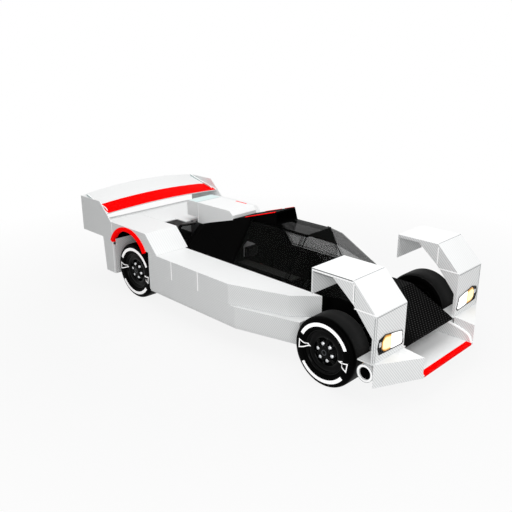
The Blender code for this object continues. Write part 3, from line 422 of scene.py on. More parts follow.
def lacquered_panel(name, stripe=None, painted_sky_reflection=None):
    """Glossy lacquer over woven cloth: the slanting ribs show faintly, with handling marks in the gloss.

    Ribs are about 2 mm on a real panel; here they are 32 mm so that they show in the render. On faces that
    look up they fade out: painted top light, standing for tops washed out by the lamps. A stripe's box is
    painted red, and flat tops behind x = -1 m take a second colour: a painted pale teal sky reflection.
    """
    made, tree, shader = coat(name, PANEL_WHITE, 0.4, 0.15)
    rib = ribs(tree, 19.5)
    up = facing(tree)["Z"]
    # On faces that look up the ribs fade out: painted top light, standing for tops washed out by the lamps.
    ribs_faded_by_painted_top_light = maths(tree, "MULTIPLY", rib, ranged(tree, up, 1.0, 0.03, 0.2, 0.9))
    cloth = blend(tree, ribs_faded_by_painted_top_light, PANEL_WHITE, PANEL_RIB)
    haze = noise(tree, 3.5)
    cloth = blend(tree, ramped(tree, haze, (0.52, "#000000"), (0.8, "#3A3A3A")), cloth, PANEL_RIB)
    if painted_sky_reflection:
        # Flat tops behind x = -1 m take a pale teal tint: a painted reflection of the sky.
        share = ranged(tree, axes(tree)["X"], 0.0, 1.0, -0.96, -1.0)
        share = maths(tree, "MULTIPLY", share, maths(tree, "GREATER_THAN", up, 0.9))
        cloth = blend(tree, share, cloth, painted_sky_reflection)
    if stripe:
        inside = boxed(tree, *stripe)
        cloth = blend(tree, inside, cloth, STRIPE)
        fill(shader, {"Specular IOR Level": ranged(tree, inside, 0.15, 0.01)})
    fill(shader, {"Base Color": cloth, "Normal": bumped(tree, rib, 0.0002, 0.25),
                  "Roughness": ramped(tree, haze, (0.3, "#9A9A9A"), (0.75, "#B8B8B8"))})
    return made


def boxed(tree, low, high):
    """1 inside a box of two corners, else 0; faces that look down count as outside."""
    inside = maths(tree, "GREATER_THAN", facing(tree)["Z"], -0.5)
    split = axes(tree)
    for axis, a, b in zip("XYZ", low, high):
        share = maths(tree, "COMPARE", split[axis], (a + b) / 2, (b - a) / 2)
        inside = maths(tree, "MULTIPLY", inside, share)
    return inside


def black_cloth(name, side_edge=None):
    """Satin black twill with slightly lighter ribs; faces that look sideways may be painted side_edge."""
    made, tree, shader = coat(name, "#010101", 0.6, 0.01)
    rib = ribs(tree, 24.0)
    cloth = blend(tree, rib, "#010101", "#040404")
    if side_edge:
        sideways = maths(tree, "GREATER_THAN", maths(tree, "ABSOLUTE", facing(tree)["Y"]), 0.2)
        cloth = blend(tree, sideways, cloth, side_edge)
    fill(shader, {"Base Color": cloth, "Normal": bumped(tree, rib, 0.0001, 0.1)})
    return made


def open_weave(name):
    """Coarse black open-weave screen: rows of pale thread crossings, every other row moved half a step.

    The product of two sines, along and across the car, is near 1 at each crossing. Sides stay plain,
    and the crossings are paler toward the middle and the front.
    """
    made, tree, shader = coat(name, "#020202", 0.6, 0.02)
    split = axes(tree)
    waves = [maths(tree, "SINE", maths(tree, "MULTIPLY", split[axis], rate))
             for axis, rate in (("X", 150.0), ("Y", 140.0))]
    both = maths(tree, "MULTIPLY", *waves)
    both = maths(tree, "MULTIPLY", both, maths(tree, "GREATER_THAN", facing(tree)["Z"], 0.3))
    for axis, low, high in (("Y", -0.42, -0.18), ("X", 1.42, 1.7)):
        both = maths(tree, "MULTIPLY", both, ranged(tree, split[axis], 0.5, 1.0, low, high))
    fill(shader, {"Base Color": ramped(tree, both, (0.55, "#010101"), (0.97, "#464646")),
                  "Normal": bumped(tree, both, 0.001, 0.4)})
    return made


def slick_rubber(name):
    """Warm slick rubber: dull black walls and a greyer band across the middle of the tread, a painted sheen.

    The band follows the profile coordinate of the surface, 0 at one bead and 1 at the other.
    """
    made, tree, shader = coat(name, "#040404", 0.6, 0.015)
    share = axes(tree, add(tree, "ShaderNodeUVMap", uv_map="surface").outputs["UV"])["Y"]
    # The greyer middle band of the tread is a painted sheen.
    band = ramped(tree, share, (0.38, "#020202"), (0.395, "#262626"), (0.47, "#343434"),
                  (0.53, "#2A2A2A"), (0.605, "#262626"), (0.62, "#020202"))
    grain = noise(tree, 220.0, 3.0)
    mottle = ramped(tree, grain, (0.4, "#000000"), (0.9, "#0C0C0C"))
    fill(shader, {"Base Color": blend(tree, mottle, band, "#1E1E1E"),
                  "Roughness": ramped(tree, grain, (0.2, "#A0A0A0"), (0.8, "#C8C8C8")),
                  "Normal": bumped(tree, grain, 0.0004, 0.3)})
    return made


def flecked(name, code, rough, metal=0.0, size=60.0, shade="#000000", amount=0.12, level=0.5, glow=None):
    """Paint, metal or plastic with a fine noise in colour, gloss and height; glow is (colour, strength)."""
    made, tree, shader = coat(name, code, rough, level, metal)
    if glow:
        fill(shader, {"Emission Color": glow[0] + (1,), "Emission Strength": glow[1]})
    grain = noise(tree, size)
    worn = tuple(c * (1 - amount) + s * amount for c, s in zip(colour(code), colour(shade)))
    fleck = ramped(tree, grain, (0.35, "#000000"), (0.85, "#FFFFFF"))
    fill(shader, {"Base Color": blend(tree, fleck, code, worn), "Normal": bumped(tree, grain, 0.0001, 0.5),
                  "Roughness": ranged(tree, grain, max(rough - 0.08, 0.02), min(rough + 0.12, 1.0))})
    return made


def brushed(name, code, rough):
    """Machined metal: long fine grooves along X, so gloss and height vary across them."""
    made, tree, shader = coat(name, code, rough, metal=1.0)
    grain = noise(tree, 1.0, 3.0, spot(tree, (4, 260, 260)))
    fill(shader, {"Roughness": ranged(tree, grain, rough - 0.1, rough + 0.15),
                  "Normal": bumped(tree, grain, 0.0001, 0.4)})
    return made


def smoked_pane(name, code="#050605", alpha=0.4, level=0.06):
    """Smoked polycarbonate: dark and half clear, polished, with faint wiping haze in the gloss."""
    made, tree, shader = coat(name, code, 0.08, level, Alpha=alpha)
    fill(shader, {"Roughness": ranged(tree, noise(tree, 9.0, 5.0), 0.05, 0.16)})
    return made


def faceted_screen(name, alpha=0.4, crown=0.56, front=0.33):
    """Smoked windscreen: nearly opaque in the small triangle below the header, paler in the front facets.

    The triangle's normal has no sideways share. The front facets lie beyond the folds that run from the
    raised middle point to the foot's corners, where x - 0.953 |y| is over 1.089 m.
    """
    made = smoked_pane(name, alpha=alpha)
    tree = made.node_tree
    place = axes(tree)
    ahead = maths(tree, "MULTIPLY_ADD", maths(tree, "ABSOLUTE", place["Y"]), -0.953, place["X"])
    beyond = maths(tree, "GREATER_THAN", ahead, 1.089)
    normal = facing(tree, "True Normal")
    level = maths(tree, "COMPARE", normal["Y"], 0.0, 0.02)
    upward = maths(tree, "GREATER_THAN", maths(tree, "ABSOLUTE", normal["Z"]), 0.9)
    top = maths(tree, "MULTIPLY", level, upward)
    shade = maths(tree, "MULTIPLY_ADD", top, crown, alpha)
    fill(tree.nodes["Principled BSDF"], {"Alpha": maths(tree, "MULTIPLY_ADD", beyond, -front, shade),
                                         "Specular IOR Level": ranged(tree, top, 0.06, 0.005)})
    return made


def lit_lens(name, middle, edge, rim, strength, clear):
    """A lit ribbed lens: pale in the middle, deeper toward its edge, dark at the rim.

    The distance to the rim is the larger of |2u - 1| to the 3rd and |2v - 1| to the power 1.6, from the
    surface's own map.
    """
    made, tree, shader = coat(name, middle, 0.3, Emission_Strength=strength)
    split = axes(tree, add(tree, "ShaderNodeUVMap", uv_map="surface").outputs[0])
    far = []
    for axis, power in (("X", 3.0), ("Y", 1.6)):
        wide = maths(tree, "ABSOLUTE", maths(tree, "MULTIPLY_ADD", split[axis], 2.0, -1.0))
        far.append(maths(tree, "POWER", wide, power))
    share = maths(tree, "MAXIMUM", *far)
    glow = ramped(tree, share, (clear - 0.25, middle), (clear + 0.1, edge), (0.99, rim))
    flutes = ribs(tree, 18.0, "Y")
    shade = blend(tree, ramped(tree, flutes, (0.4, "#000000"), (1.0, "#505050")), glow, edge)
    fill(shader, {"Base Color": shade, "Emission Color": shade, "Normal": bumped(tree, flutes, 0.001, 0.3)})
    return made


def woven_cloth(name, code, dark, size=9.0):
    """Knitted seat cloth: two crossed waves darken the gaps between threads and lift the threads."""
    made, tree, shader = coat(name, code, 0.85, 0.2, Sheen_Weight=0.2)
    both = maths(tree, "MULTIPLY", ribs(tree, size, "X"), ribs(tree, size, "Y"))
    fill(shader, {"Base Color": blend(tree, both, dark, code),
                  "Normal": bumped(tree, both, 0.0006, 0.6)})
    return made


WHITE = lacquered_panel("white_lacquer_on_cloth")
DECK_WHITE = lacquered_panel("white_lacquer_front_deck", ((2.441, -0.453, 0.2), (2.6, 0.453, 0.246)))
# The cover's flat tail top carries a painted pale teal sky reflection.
COVER_WHITE = lacquered_panel("white_lacquer_cover_painted_sky_reflection_tail", painted_sky_reflection="#DCEFEF")
WING_WHITE = lacquered_panel("white_lacquer_wing", ((-2.15, -0.925, 0.9), (-1.8, 0.925, 1.3)))
# Red lacquer that glows though it is no lamp: a painted glow that keeps the red bright in shade.
RED_WITH_PAINTED_GLOW = flecked("red_lacquer_painted_glow", STRIPE, 0.5, size=30, amount=0.08, level=0.02, glow=((1, 0, 0), 0.3))
SEAM_GREY = flecked("grey_seam_tape", "#A4A7A8", 0.6, size=90, amount=0.2)
LINE_GREY = flecked("dark_grey_panel_gap", "#6C6F70", 0.7, size=90, amount=0.2, level=0.1)
# A white plate coloured pale teal grey: painted shade, with the teal cast the light gives side faces.
PALE_TEAL_PAINTED_SHADE = flecked("white_plate_painted_teal_grey_shade", "#C9D8D8", 0.5, level=0.15)
# White beads that glow though they are no lamp: painted highlights along the panel joints and edges.
WHITE_SEAM_PAINTED_HIGHLIGHT = flecked("white_seam_bead_painted_highlight_glow", "#FAFAFA", 0.5, size=90, amount=0.06, level=0.1,
                     glow=((1, 1, 1), 0.22))
BLACK = black_cloth("satin_black_twill")
FLOOR_BLACK = black_cloth("satin_black_twill_white_side_edges", "#E9EAEA")
NOSE_WEAVE = open_weave("black_open_weave")
GLASS = smoked_pane("smoked_polycarbonate")
ROOF_GLASS = smoked_pane("dark_smoked_roof_polycarbonate", alpha=0.72, level=0.02)
SCREEN_GLASS = faceted_screen("smoked_screen_polycarbonate")
RIM_GLASS = smoked_pane("bonded_dark_pane_rim", "#020302", 0.55)
CLEAR = smoked_pane("clear_lamp_cover", "#101010", 0.04)
RUBBER = slick_rubber("slick_tyre_rubber")
# White sidewall paint that glows though it is no lamp: a painted glow that keeps the side-lit bands bright.
WALL_PAINT_WITH_PAINTED_GLOW = flecked("white_sidewall_paint_painted_glow", "#FFFFFF", 0.6, size=120, shade="#9A9A9A",
                     glow=((1, 1, 1), 0.3))
RIM_BLACK = flecked("gloss_black_wheel_enamel", "#010101", 0.12, size=80, shade="#0C0C0C", level=0.06)
DARK_CHROME = flecked("scuffed_chrome_nut", "#DCDEE0", 0.28, 1.0, 70, "#2A2A2A", 0.5)
METAL = brushed("machined_aluminium", "#B4B7BA", 0.32)
STEEL = brushed("dark_machined_steel", "#46484A", 0.35)
DISC = flecked("carbon_brake_disc", "#060606", 0.6, size=300, shade="#161616", amount=0.4, level=0.05)
AMBER = flecked("amber_anodised_saddle", "#E0A010", 0.35, 0.3)
PIPE = flecked("glossy_black_pipe", "#010101", 0.2, size=40, shade="#101010", level=0.6)
CABIN = flecked("matt_black_cabin_coat", "#080A07", 0.9, size=20, shade="#10120E", amount=0.4, level=0.0)
HOLLOW = flecked("deep_black_liner", "#010101", 0.9, size=120, level=0.05)
GREY_TRIM = flecked("grey_cabin_trim", "#5A5B58", 0.7, size=90, level=0.1)
SURROUND = flecked("pale_head_bracket", "#E4E4E4", 0.6, size=90, level=0.1)
CHROME = flecked("bright_lamp_reflector", "#E4E6E8", 0.14, 1.0, 50, amount=0.05)
WARM_LENS = lit_lens("warm_lit_lens", "#FFF0B0", "#C48208", "#4A2800", 0.75, 0.66)
WHITE_LENS = lit_lens("white_lit_lens", "#FFFFFF", "#F4F4F4", "#8E9496", 0.9, 0.85)
TAIL_LENS = flecked("red_tail_lens", "#B00000", 0.2, size=200, shade="#400000", amount=0.3)
SEAT_CLOTH = woven_cloth("black_seat_cloth", "#1C1C1E", "#080808")
WEBBING = woven_cloth("red_harness_webbing", "#B01414", "#5A0606", 20.0)
GLASS_BLACK = flecked("black_screen_glass", "#030405", 0.08, size=30, shade="#101214", level=0.3)
PLANK = flecked("worn_skid_plank", "#3A2E22", 0.8, size=40, shade="#14100C", amount=0.5, level=0.2)


# The four wheels.

def tyre_depth(radius):
    """Depth of the outer wall at a radius: a shallow bulge, deepest at the bead and the shoulder."""
    share = np.clip((np.asarray(radius, float) - BEAD_RADIUS) / (SHOULDER_RADIUS - BEAD_RADIUS), 0.0, 1.0)
    return 0.001 + 0.017 * np.abs(2 * share - 1.0) ** 4.0


def tyre_profile(width):
    """Half of a tyre's section, then its mirror: wall bulge, round shoulder, nearly flat crown."""
    wall = np.linspace(BEAD_RADIUS + 0.0006, 0.325, 22)
    half = np.stack([wall, tyre_depth(wall)], axis=1)
    turn = np.linspace(0.0, math.pi / 2, 10)[1:]
    start = half[-1]
    corner = np.stack([start[0] + (TYRE_RADIUS - 0.0012 - start[0]) * np.sin(turn),
                       start[1] + 0.036 * (1 - np.cos(turn))], axis=1)
    depth = np.linspace(corner[-1, 1], width / 2, 7)[1:]
    crown = np.stack([TYRE_RADIUS - 0.0012 * ((width / 2 - depth) / (width / 2)) ** 2, depth], axis=1)
    half = np.concatenate([half, corner, crown])
    other = half[::-1][1:].copy()
    other[:, 1] = width - other[:, 1]
    return np.concatenate([half, other])


def tyre(name, centre, width, side, body):
    """Slick tyre with white bands and two open triangles painted on its outer face, and fine bead lines."""
    profile = tyre_profile(width)
    back = np.linspace(profile[-1, 1], profile[0, 1], 8)[1:]
    section = np.concatenate([profile, np.stack([np.full(7, BEAD_RADIUS + 0.0006), back], axis=1)])
    piece(name + "_rubber", [turned(section, centre, side, 128, False)], RUBBER, 50, 0, body, name)
    bands = []
    for start, stop, low, high in ((24.4, 154.0, 0.267, 0.304), (-145.0, -37.0, 0.27, 0.306)):
        radius = np.linspace(low, high, 7)
        top = np.stack([radius, tyre_depth(radius) - 0.0007], axis=1)
        under = np.stack([radius[::-1], tyre_depth(radius[::-1]) + 0.0012], axis=1)
        bands.append(arc(np.concatenate([top, under]), centre, side, start, stop, 60))
    bands += [marker(centre, side, angle) for angle in (178.0, -9.0)]
    piece(name + "_wall_bands", bands, WALL_PAINT_WITH_PAINTED_GLOW, 40, 0, body)
    lines = []
    for radius, wide in ((0.2385, 0.0022), (0.316, 0.0016), (0.3215, 0.001)):
        ring = round_bar(wide, 9) * (1.0, 0.5) + (radius, tyre_depth(radius))
        ring[:, 1] = np.maximum(ring[:, 1], 0.0003)
        lines.append(turned(ring, centre, side, 96))
    piece(name + "_wall_lines", lines, RUBBER, 60, 0, body)


COVER_FRONT = ((0.1385, 0.047), (0.146, 0.0385), (0.158, 0.0335), (0.174, 0.0315), (0.188, 0.033),
               (0.198, 0.0375), (0.208, 0.0395), (0.218, 0.0345), (0.224, 0.0262), (0.2262, 0.0215))
COVER_BACK = ((0.2275, 0.03), (0.22, 0.044), (0.21, 0.05), (0.188, 0.047), (0.15, 0.053),
              (0.1385, 0.054))
HUB = ((0.0312, 0.06), (0.0312, 0.025), (0.04, 0.0225), (0.056, 0.024), (0.064, 0.032), (0.066, 0.056),
       (0.06, 0.064))
CENTRE_NUT = ((0.0, 0.0212), (0.018, 0.0212), (0.0235, 0.0235), (0.0262, 0.03), (0.0262, 0.052),
              (0.0, 0.052))


def marker(centre, side, angle):
    """An open painted triangle, its tip toward the hub: a flat band carried round three straight sides."""
    turn = math.radians(angle)
    out = np.array([math.cos(turn), math.sin(turn)])
    over = np.array([-out[1], out[0]])
    tip, base, half = 0.18, 0.289, 0.042
    corners = np.stack([out * tip, out * base + over * half, out * base - over * half, out * tip])
    flat = np.concatenate([corners[k] + (corners[k + 1] - corners[k]) * np.linspace(0, 1, 31)[:-1, None]
                           for k in range(3)])
    radius = np.linalg.norm(flat, axis=1)
    cover = np.asarray(COVER_FRONT).T
    depth = np.minimum.reduce([np.where(r < BEAD_RADIUS, np.interp(r, *cover), tyre_depth(r))
                               for r in (radius - 0.005, radius, radius + 0.005)]) - 0.0012
    path = on_wheel(flat[:, 0], depth, flat[:, 1], centre, side)
    band = [(-0.0055, -0.0006), (0.0055, -0.0006), (0.0055, 0.0007), (-0.0055, 0.0007)]
    return carried(band, path, (0, side, 0), loop=True)


SPOKES, FIRST_SPOKE, SPOKE_FOOT, SPOKE_TIP, CAP_CIRCLE = 6, 0.35, 0.058, 0.156, 0.084


def rim(name, centre, width, side, body):
    """Black wheel: stepped barrel, dished cover with a groove, domed spokes in its opening, and nuts."""
    barrel = [(0.2262, 0.0215), (0.2283, 0.0235), (0.2283, 0.034), (0.218, 0.044), (0.212, 0.06),
              (0.212, width - 0.06), (0.2283, width - 0.034), (0.2283, width - 0.0215),
              (0.224, width - 0.0215), (0.206, width - 0.05), (0.2052, 0.09), (0.206, 0.052), (0.212, 0.036),
              (0.22, 0.024)]
    parts = [turned(profile, centre, side, steps)
             for profile, steps in ((barrel, 112), (COVER_FRONT + COVER_BACK, 112), (HUB, 64))]
    s = np.linspace(0.0, 1.0, 20)[:, None]
    t = around(20)
    radius = SPOKE_FOOT + (SPOKE_TIP - SPOKE_FOOT) * s
    half_width = 0.026 - 0.012 * np.sin(math.pi * np.clip(s * 1.15, 0, 1)) + 0.01 * s
    dome = 0.014 + 0.013 * np.exp(-((s - 0.2) / 0.16) ** 2)
    depth = 0.04 + 0.026 * s ** 1.5 - dome * np.sin(t)
    across = half_width * squared(np.cos(t), 0.8)
    for turn in 2 * math.pi * np.arange(SPOKES) / SPOKES + FIRST_SPOKE:
        x = radius * math.cos(turn) - across * math.sin(turn)
        z = radius * math.sin(turn) + across * math.cos(turn)
        parts.append(capped(on_wheel(x, depth, z, centre, side)))
    piece(name + "_wheel", parts, RIM_BLACK, 40, 0, body, name)
    caps = []
    t = around(12)
    swell = np.linspace(0.0, math.pi / 2, 5)
    ring = np.concatenate([[0.0255], 0.024 * np.cos(swell)])[:, None]
    depth = 0.046 + np.concatenate([[0.026], -0.0185 * np.sin(swell)])[:, None]
    for turn in 2 * math.pi * (np.arange(SPOKES) + 0.5) / SPOKES + FIRST_SPOKE:
        x = CAP_CIRCLE * math.cos(turn) + ring * np.cos(t)
        z = CAP_CIRCLE * math.sin(turn) + ring * np.sin(t)
        caps.append((capped(on_wheel(x, depth, z, centre, side))[0][:-1], False, True))
    piece(name + "_caps", caps, DARK_CHROME, 60, 0, body)
    nut = turned(CENTRE_NUT, centre, side, 48, False)
    piece(name + "_centre_nut", [nut], RIM_BLACK, 30, 0, body)


DISC_EDGE = ((0.066, 0.004), (0.172, 0.004), (0.175, 0.006), (0.175, 0.009), (0.165, 0.01), (0.165, 0.012),
             (0.175, 0.013), (0.175, 0.017), (0.172, 0.019), (0.066, 0.019))
DISC_BELL = ((0.032, -0.002), (0.06, -0.002), (0.07, 0.003), (0.07, 0.02), (0.064, 0.02), (0.058, 0.004),
             (0.032, 0.004))


def brake(name, centre, side, wheel_body, carrier):
    """Grooved disc and bell that turn with the wheel, and a caliper fixed to the carrier."""
    piece(name + "_disc", [turned(DISC_EDGE, centre, side, 96)], DISC, body=wheel_body)
    piece(name + "_disc_bell", [turned(DISC_BELL, centre, side, 64)], METAL, body=wheel_body)
    block = []
    for low, high in ((-0.018, 0.001), (0.022, 0.034)):
        pad = [(0.118, low), (0.186, low + 0.003), (0.19, low + 0.006), (0.19, high), (0.118, high)]
        block.append(arc(pad, centre, side, 148.0, 212.0, 24))
    bridge = oblong(0.178, -0.004, 0.192, 0.03)
    block += [arc(bridge, centre, side, start, start + 12.0, 6) for start in (150.0, 174.0, 198.0)]
    piece(name + "_caliper", block, STEEL, 30, 0.0015, carrier)


for hand, side in HANDS:
    for end, x, face, width, disc, carrier in (("front", 1.698, 0.954, 0.3, 0.838, "knuckle" + hand),
                                               ("rear", -1.393, 0.929, 0.34, 0.79, "body")):
        wheel = "wheel_" + end + hand
        centre = (x, side * face, TYRE_RADIUS)
        tyre("tyre_" + end + hand, centre, width, side, wheel)
        rim("rim_" + end + hand, centre, width, side, wheel)
        brake(end + "_brake" + hand, (x, side * (disc + 0.022), TYRE_RADIUS), side, wheel, carrier)


# Panels and structure that keep their CAD shape.

dress("engine_cover", COVER_WHITE, 0.004)
dress("rear_deck", WHITE, 0.003)
dress("front_splitter", DECK_WHITE, 0.003)
dress("rear_wing", WING_WHITE, 0.0)
for hand, side in HANDS:
    for node in ("front_fender", "corner_block", "pod", "sill", "rear_fender", "endplate"):
        dress(node + hand, WHITE, 0.004)
    dress("brake_duct" + hand, WHITE, 0.0015)
    dress("door_frame" + hand, RIM_GLASS, 0.001)
    for node in ("front_arms", "knuckle", "rear_arms"):
        dress(node + hand, STEEL, 0.0015)
    keep("door_pane" + hand, GLASS)
dress("floor", FLOOR_BLACK, 0.001)
for node in ("diffuser", "canopy_rear", "roof_scoop", "dash"):
    dress(node, BLACK)
dress("tub", CABIN)
dress("nose", NOSE_WEAVE, 0.0025)
dress("power_unit", STEEL, 0.004)
keep("roof_pane", ROOF_GLASS)
keep("windscreen", SCREEN_GLASS)


def hoops_and_rails():
    """Two hoops in the canopy's section with side covers, two roof rails, door hinge lugs and pins."""
    tubes = []
    for x, radius in ((0.822, 0.006), (-0.0145, 0.0115)):
        foot, head = 0.508 - radius * 1.4, 0.192 - radius
        half = [(foot, 0.703), (head + 0.006, 1.142), (head - 0.014, 1.157 - radius)]
        path = [(x, -y, z) for y, z in half] + [(x, y, z) for y, z in half[::-1]]
        tubes.append(carried(round_bar(radius, 14), path, (1, 0, 0)))
    for side in (-1.0, 1.0):
        tubes.append(slab(oblong(side * 0.148, 1.134, side * 0.178, 1.1545), -0.02, 0.828, "x", 0.003))
        for start, stop in ((-0.0148, 0.015), (0.7944, 0.8242)):
            pin = [(start, side * 0.2085, 1.1655), (stop, side * 0.2085, 1.1655)]
            tubes.append(carried(round_bar(0.0038, 10), pin, (0, 0, 1)))
        lug = [(side * 0.19, 1.14), (side * 0.196, 1.1685), (side * 0.214, 1.169), (side * 0.214, 1.1555)]
        tubes += [slab(lug, start, stop, "x") for start, stop in ((-0.027, -0.003), (0.812, 0.836))]
    for name, start, stop, finish in (("front", 0.8046, 0.8376, GLASS), ("rear", -0.0296, 0.0046, BLACK)):
        section = np.array([(0.202, 1.166), (0.5096, 0.703), (0.5071, 0.7012), (0.1995, 1.1642)])
        covers = [slab(section * (side, 1.0), start, stop, "x", 0.0) for side in (-1.0, 1.0)]
        piece("hoop_side_covers_" + name, covers, finish, 20)
    piece("canopy_hoops", tubes, BLACK, 40, node="canopy_frame")


# Head lamps and the front end.

def lamp_low(y):
    """Height of the lamp opening's lower edge at a distance from the middle plane."""
    return np.interp(np.abs(y), (0.5, 0.52, 0.889, 0.915), (0.53, 0.512, 0.533, 0.604))


def lamp_high(y):
    """Height of the lamp opening's upper edge at a distance from the middle plane."""
    return np.interp(np.abs(y), (0.5, 0.534, 0.804, 0.895, 0.915), (0.53, 0.656, 0.705, 0.678, 0.604))


LAMP_OUTLINE = ((0.915, 0.604), (0.889, 0.533), (0.52, 0.512), (0.5, 0.53), (0.534, 0.656), (0.804, 0.705),
                (0.895, 0.678))


def head_lamp(hand, side):
    """Dark housing, amber-rimmed warm lamp, white lamp, small reflector, rim bead and clear cover."""
    name = "headlamp" + hand
    outline = np.array(LAMP_OUTLINE) * (side, 1.0)
    plate = slab(outline, 2.2724, LAMP_X, "x", 0.002)
    piece(name + "_housing", [plate], RIM_BLACK, node=name)
    for lamp, base, outer, inner, round_outer, round_inner, finish in (
            ("_warm_lamp", LAMP_X + 0.0012, 0.852, 0.7, 0.62, 0.25, WARM_LENS),
            ("_white_lamp", LAMP_X + 0.0002, 0.722, 0.514, 0.1, 0.3, WHITE_LENS)):
        def trim(y, outer=outer, inner=inner, round_outer=round_outer, round_inner=round_inner):
            u = (outer - np.abs(y)) / (outer - inner)
            return 0.5 * (round_outer * np.clip(1 - u / 0.5, 0, 1) ** 2.5
                          + round_inner * np.clip((u - 0.8) / 0.2, 0, 1) ** 2.5)

        def low_edge(y, trim=trim):
            return lamp_low(y) + 0.005 + trim(y) * (lamp_high(y) - lamp_low(y) - 0.01)

        def high_edge(y, trim=trim):
            return lamp_high(y) - 0.005 - trim(y) * (lamp_high(y) - lamp_low(y) - 0.01)

        grids = pillow((side * outer, side * inner), low_edge, high_edge, base, 0.005)
        piece(name + lamp, grids, finish, 60)
    level = [lambda y, z=z: 0 * y + z for z in (0.602, 0.65)]
    grids = pillow((side * 0.892, side * 0.858), *level, LAMP_X + 0.0002, 0.004, 10, 8)
    piece(name + "_side_reflector", grids, CHROME, 60)
    path = np.column_stack([np.full(len(outline), LAMP_X + 0.0004), outline])
    bead = carried(half_round(0.0045, 0.004), path, (1, 0, 0), loop=True)
    piece(name + "_rim_bead", [bead], RIM_BLACK, 60)
    grids = pillow((side * 0.911, side * 0.504), lamp_low, lamp_high, LAMP_X + 0.006, 0.0022)
    piece(name + "_cover", grids, CLEAR, 60)


DUCT_PARTS = (
    ("lip", WHITE_SEAM_PAINTED_HIGHLIGHT, [((0.0604, 0.004), (0.0612, -0.001), (0.068, -0.003), (0.08, -0.002), (0.0856, 0.002),
                          (0.0856, 0.012), (0.0604, 0.012))]),
    ("outline_rings", SEAM_GREY, [
        ((0.0845, -0.0022), (0.085, -0.0034), (0.0868, -0.003), (0.0868, 0.003), (0.085, 0.003)),
        ((0.0606, -0.0006), (0.062, -0.0022), (0.0636, -0.0018), (0.063, 0.0006))]),
    ("liner", HOLLOW, [((0.06, 0.0125), (0.06, 0.475), (0.059, 0.475), (0.059, 0.0125))]))
FENCE_TOP = ((2.05, 0.4), (2.21, 0.385), (2.33, 0.362), (2.416, 0.333), (2.447, 0.315), (2.47, 0.285),
             (2.485, 0.247))


def front_details(hand, side):
    """Seams of the arch panels, the duct's turned parts and amber saddle, and the splitter fence's edge."""
    face = side * FENDER_FACE
    y0, y1 = side * 0.49, side * 0.95
    grey = on_side(face, side, (2.262, 0.47, 2.262, 0.9), (2.03, 1.14, 2.03, 0.985))
    grey += [([(2.014, y0, 1.1826), (2.014, y1, 1.1826)], (1, 0, 1)),
             ([(2.274, y0, 0.906), (2.274, y1, 0.906)], (1, 0, 0)),
             ([(2.2728, side * 0.943, 0.47), (2.2728, side * 0.943, 0.9)], (1, 0, 0))]
    strips(f"front_fender{hand}_grey_seams", grey, 0.007, 0.0012, SEAM_GREY)
    dark = on_side(face, side, (1.56, 1.1475, 1.785, 1.1475), (1.546, 1.1765, 2.006, 1.1765))
    strips(f"front_fender{hand}_dark_roof_lines", dark, 0.008, 0.0016, LINE_GREY)
    post, shelf = (2.02, 1.15, 2.02, 0.97), (2.036, 0.925, 2.262, 0.925)
    white = on_side(face, side, post, shelf, (1.546, 1.163, 2.01, 1.163))
    white += on_side(side * 0.4748, -side, post, shelf)
    strips(f"front_fender{hand}_white_seams", white, 0.01, 0.0026, WHITE_SEAM_PAINTED_HIGHLIGHT)
    tube = (2.186, side * 0.9562, 0.34)
    for part, finish, profiles in DUCT_PARTS:
        rings = [turned(profile, tube, side) for profile in profiles]
        piece(f"brake_duct{hand}_{part}", rings, finish, 50)
    s = np.linspace(-0.5, 0.5, 16)[:, None]
    turn = np.linspace(math.radians(25), math.radians(155), 20)[None, :]
    band = [np.stack([tube[0] + radius * np.cos(turn) + 0 * s, side * (0.735 + 0.3 * s) + 0 * turn,
                      tube[2] + radius * np.sin(turn) + 0 * s], axis=-1) for radius in (0.0866, 0.0905)]
    section = np.concatenate([band[0], band[1][:, ::-1]], axis=1)
    piece(f"brake_duct{hand}_amber_saddle", [capped(section)], AMBER)
    path = curve_through([(x, side * 0.4662, z) for x, z in FENCE_TOP], 30)
    rod(f"splitter_fence{hand}_edge", path, 0.0112, 12, WHITE_SEAM_PAINTED_HIGHLIGHT, side)


# Side panels, rear arches and wing.

WING_FENCE = ((-2.455, 1.182), (-2.362, 1.154), (-2.195, 1.11), (-2.051, 1.078), (-1.995, 1.06),
              (-1.97, 1.04), (-1.962, 1.016), (-1.972, 0.984), (-1.996, 0.964), (-2.06, 0.968), (-2.2, 1.005),
              (-2.455, 1.105))
ARCH_CENTRE, ARCH_OUTER, ARCH_INNER = (-1.46, 0.9612, 0.497), 0.425, 0.3725


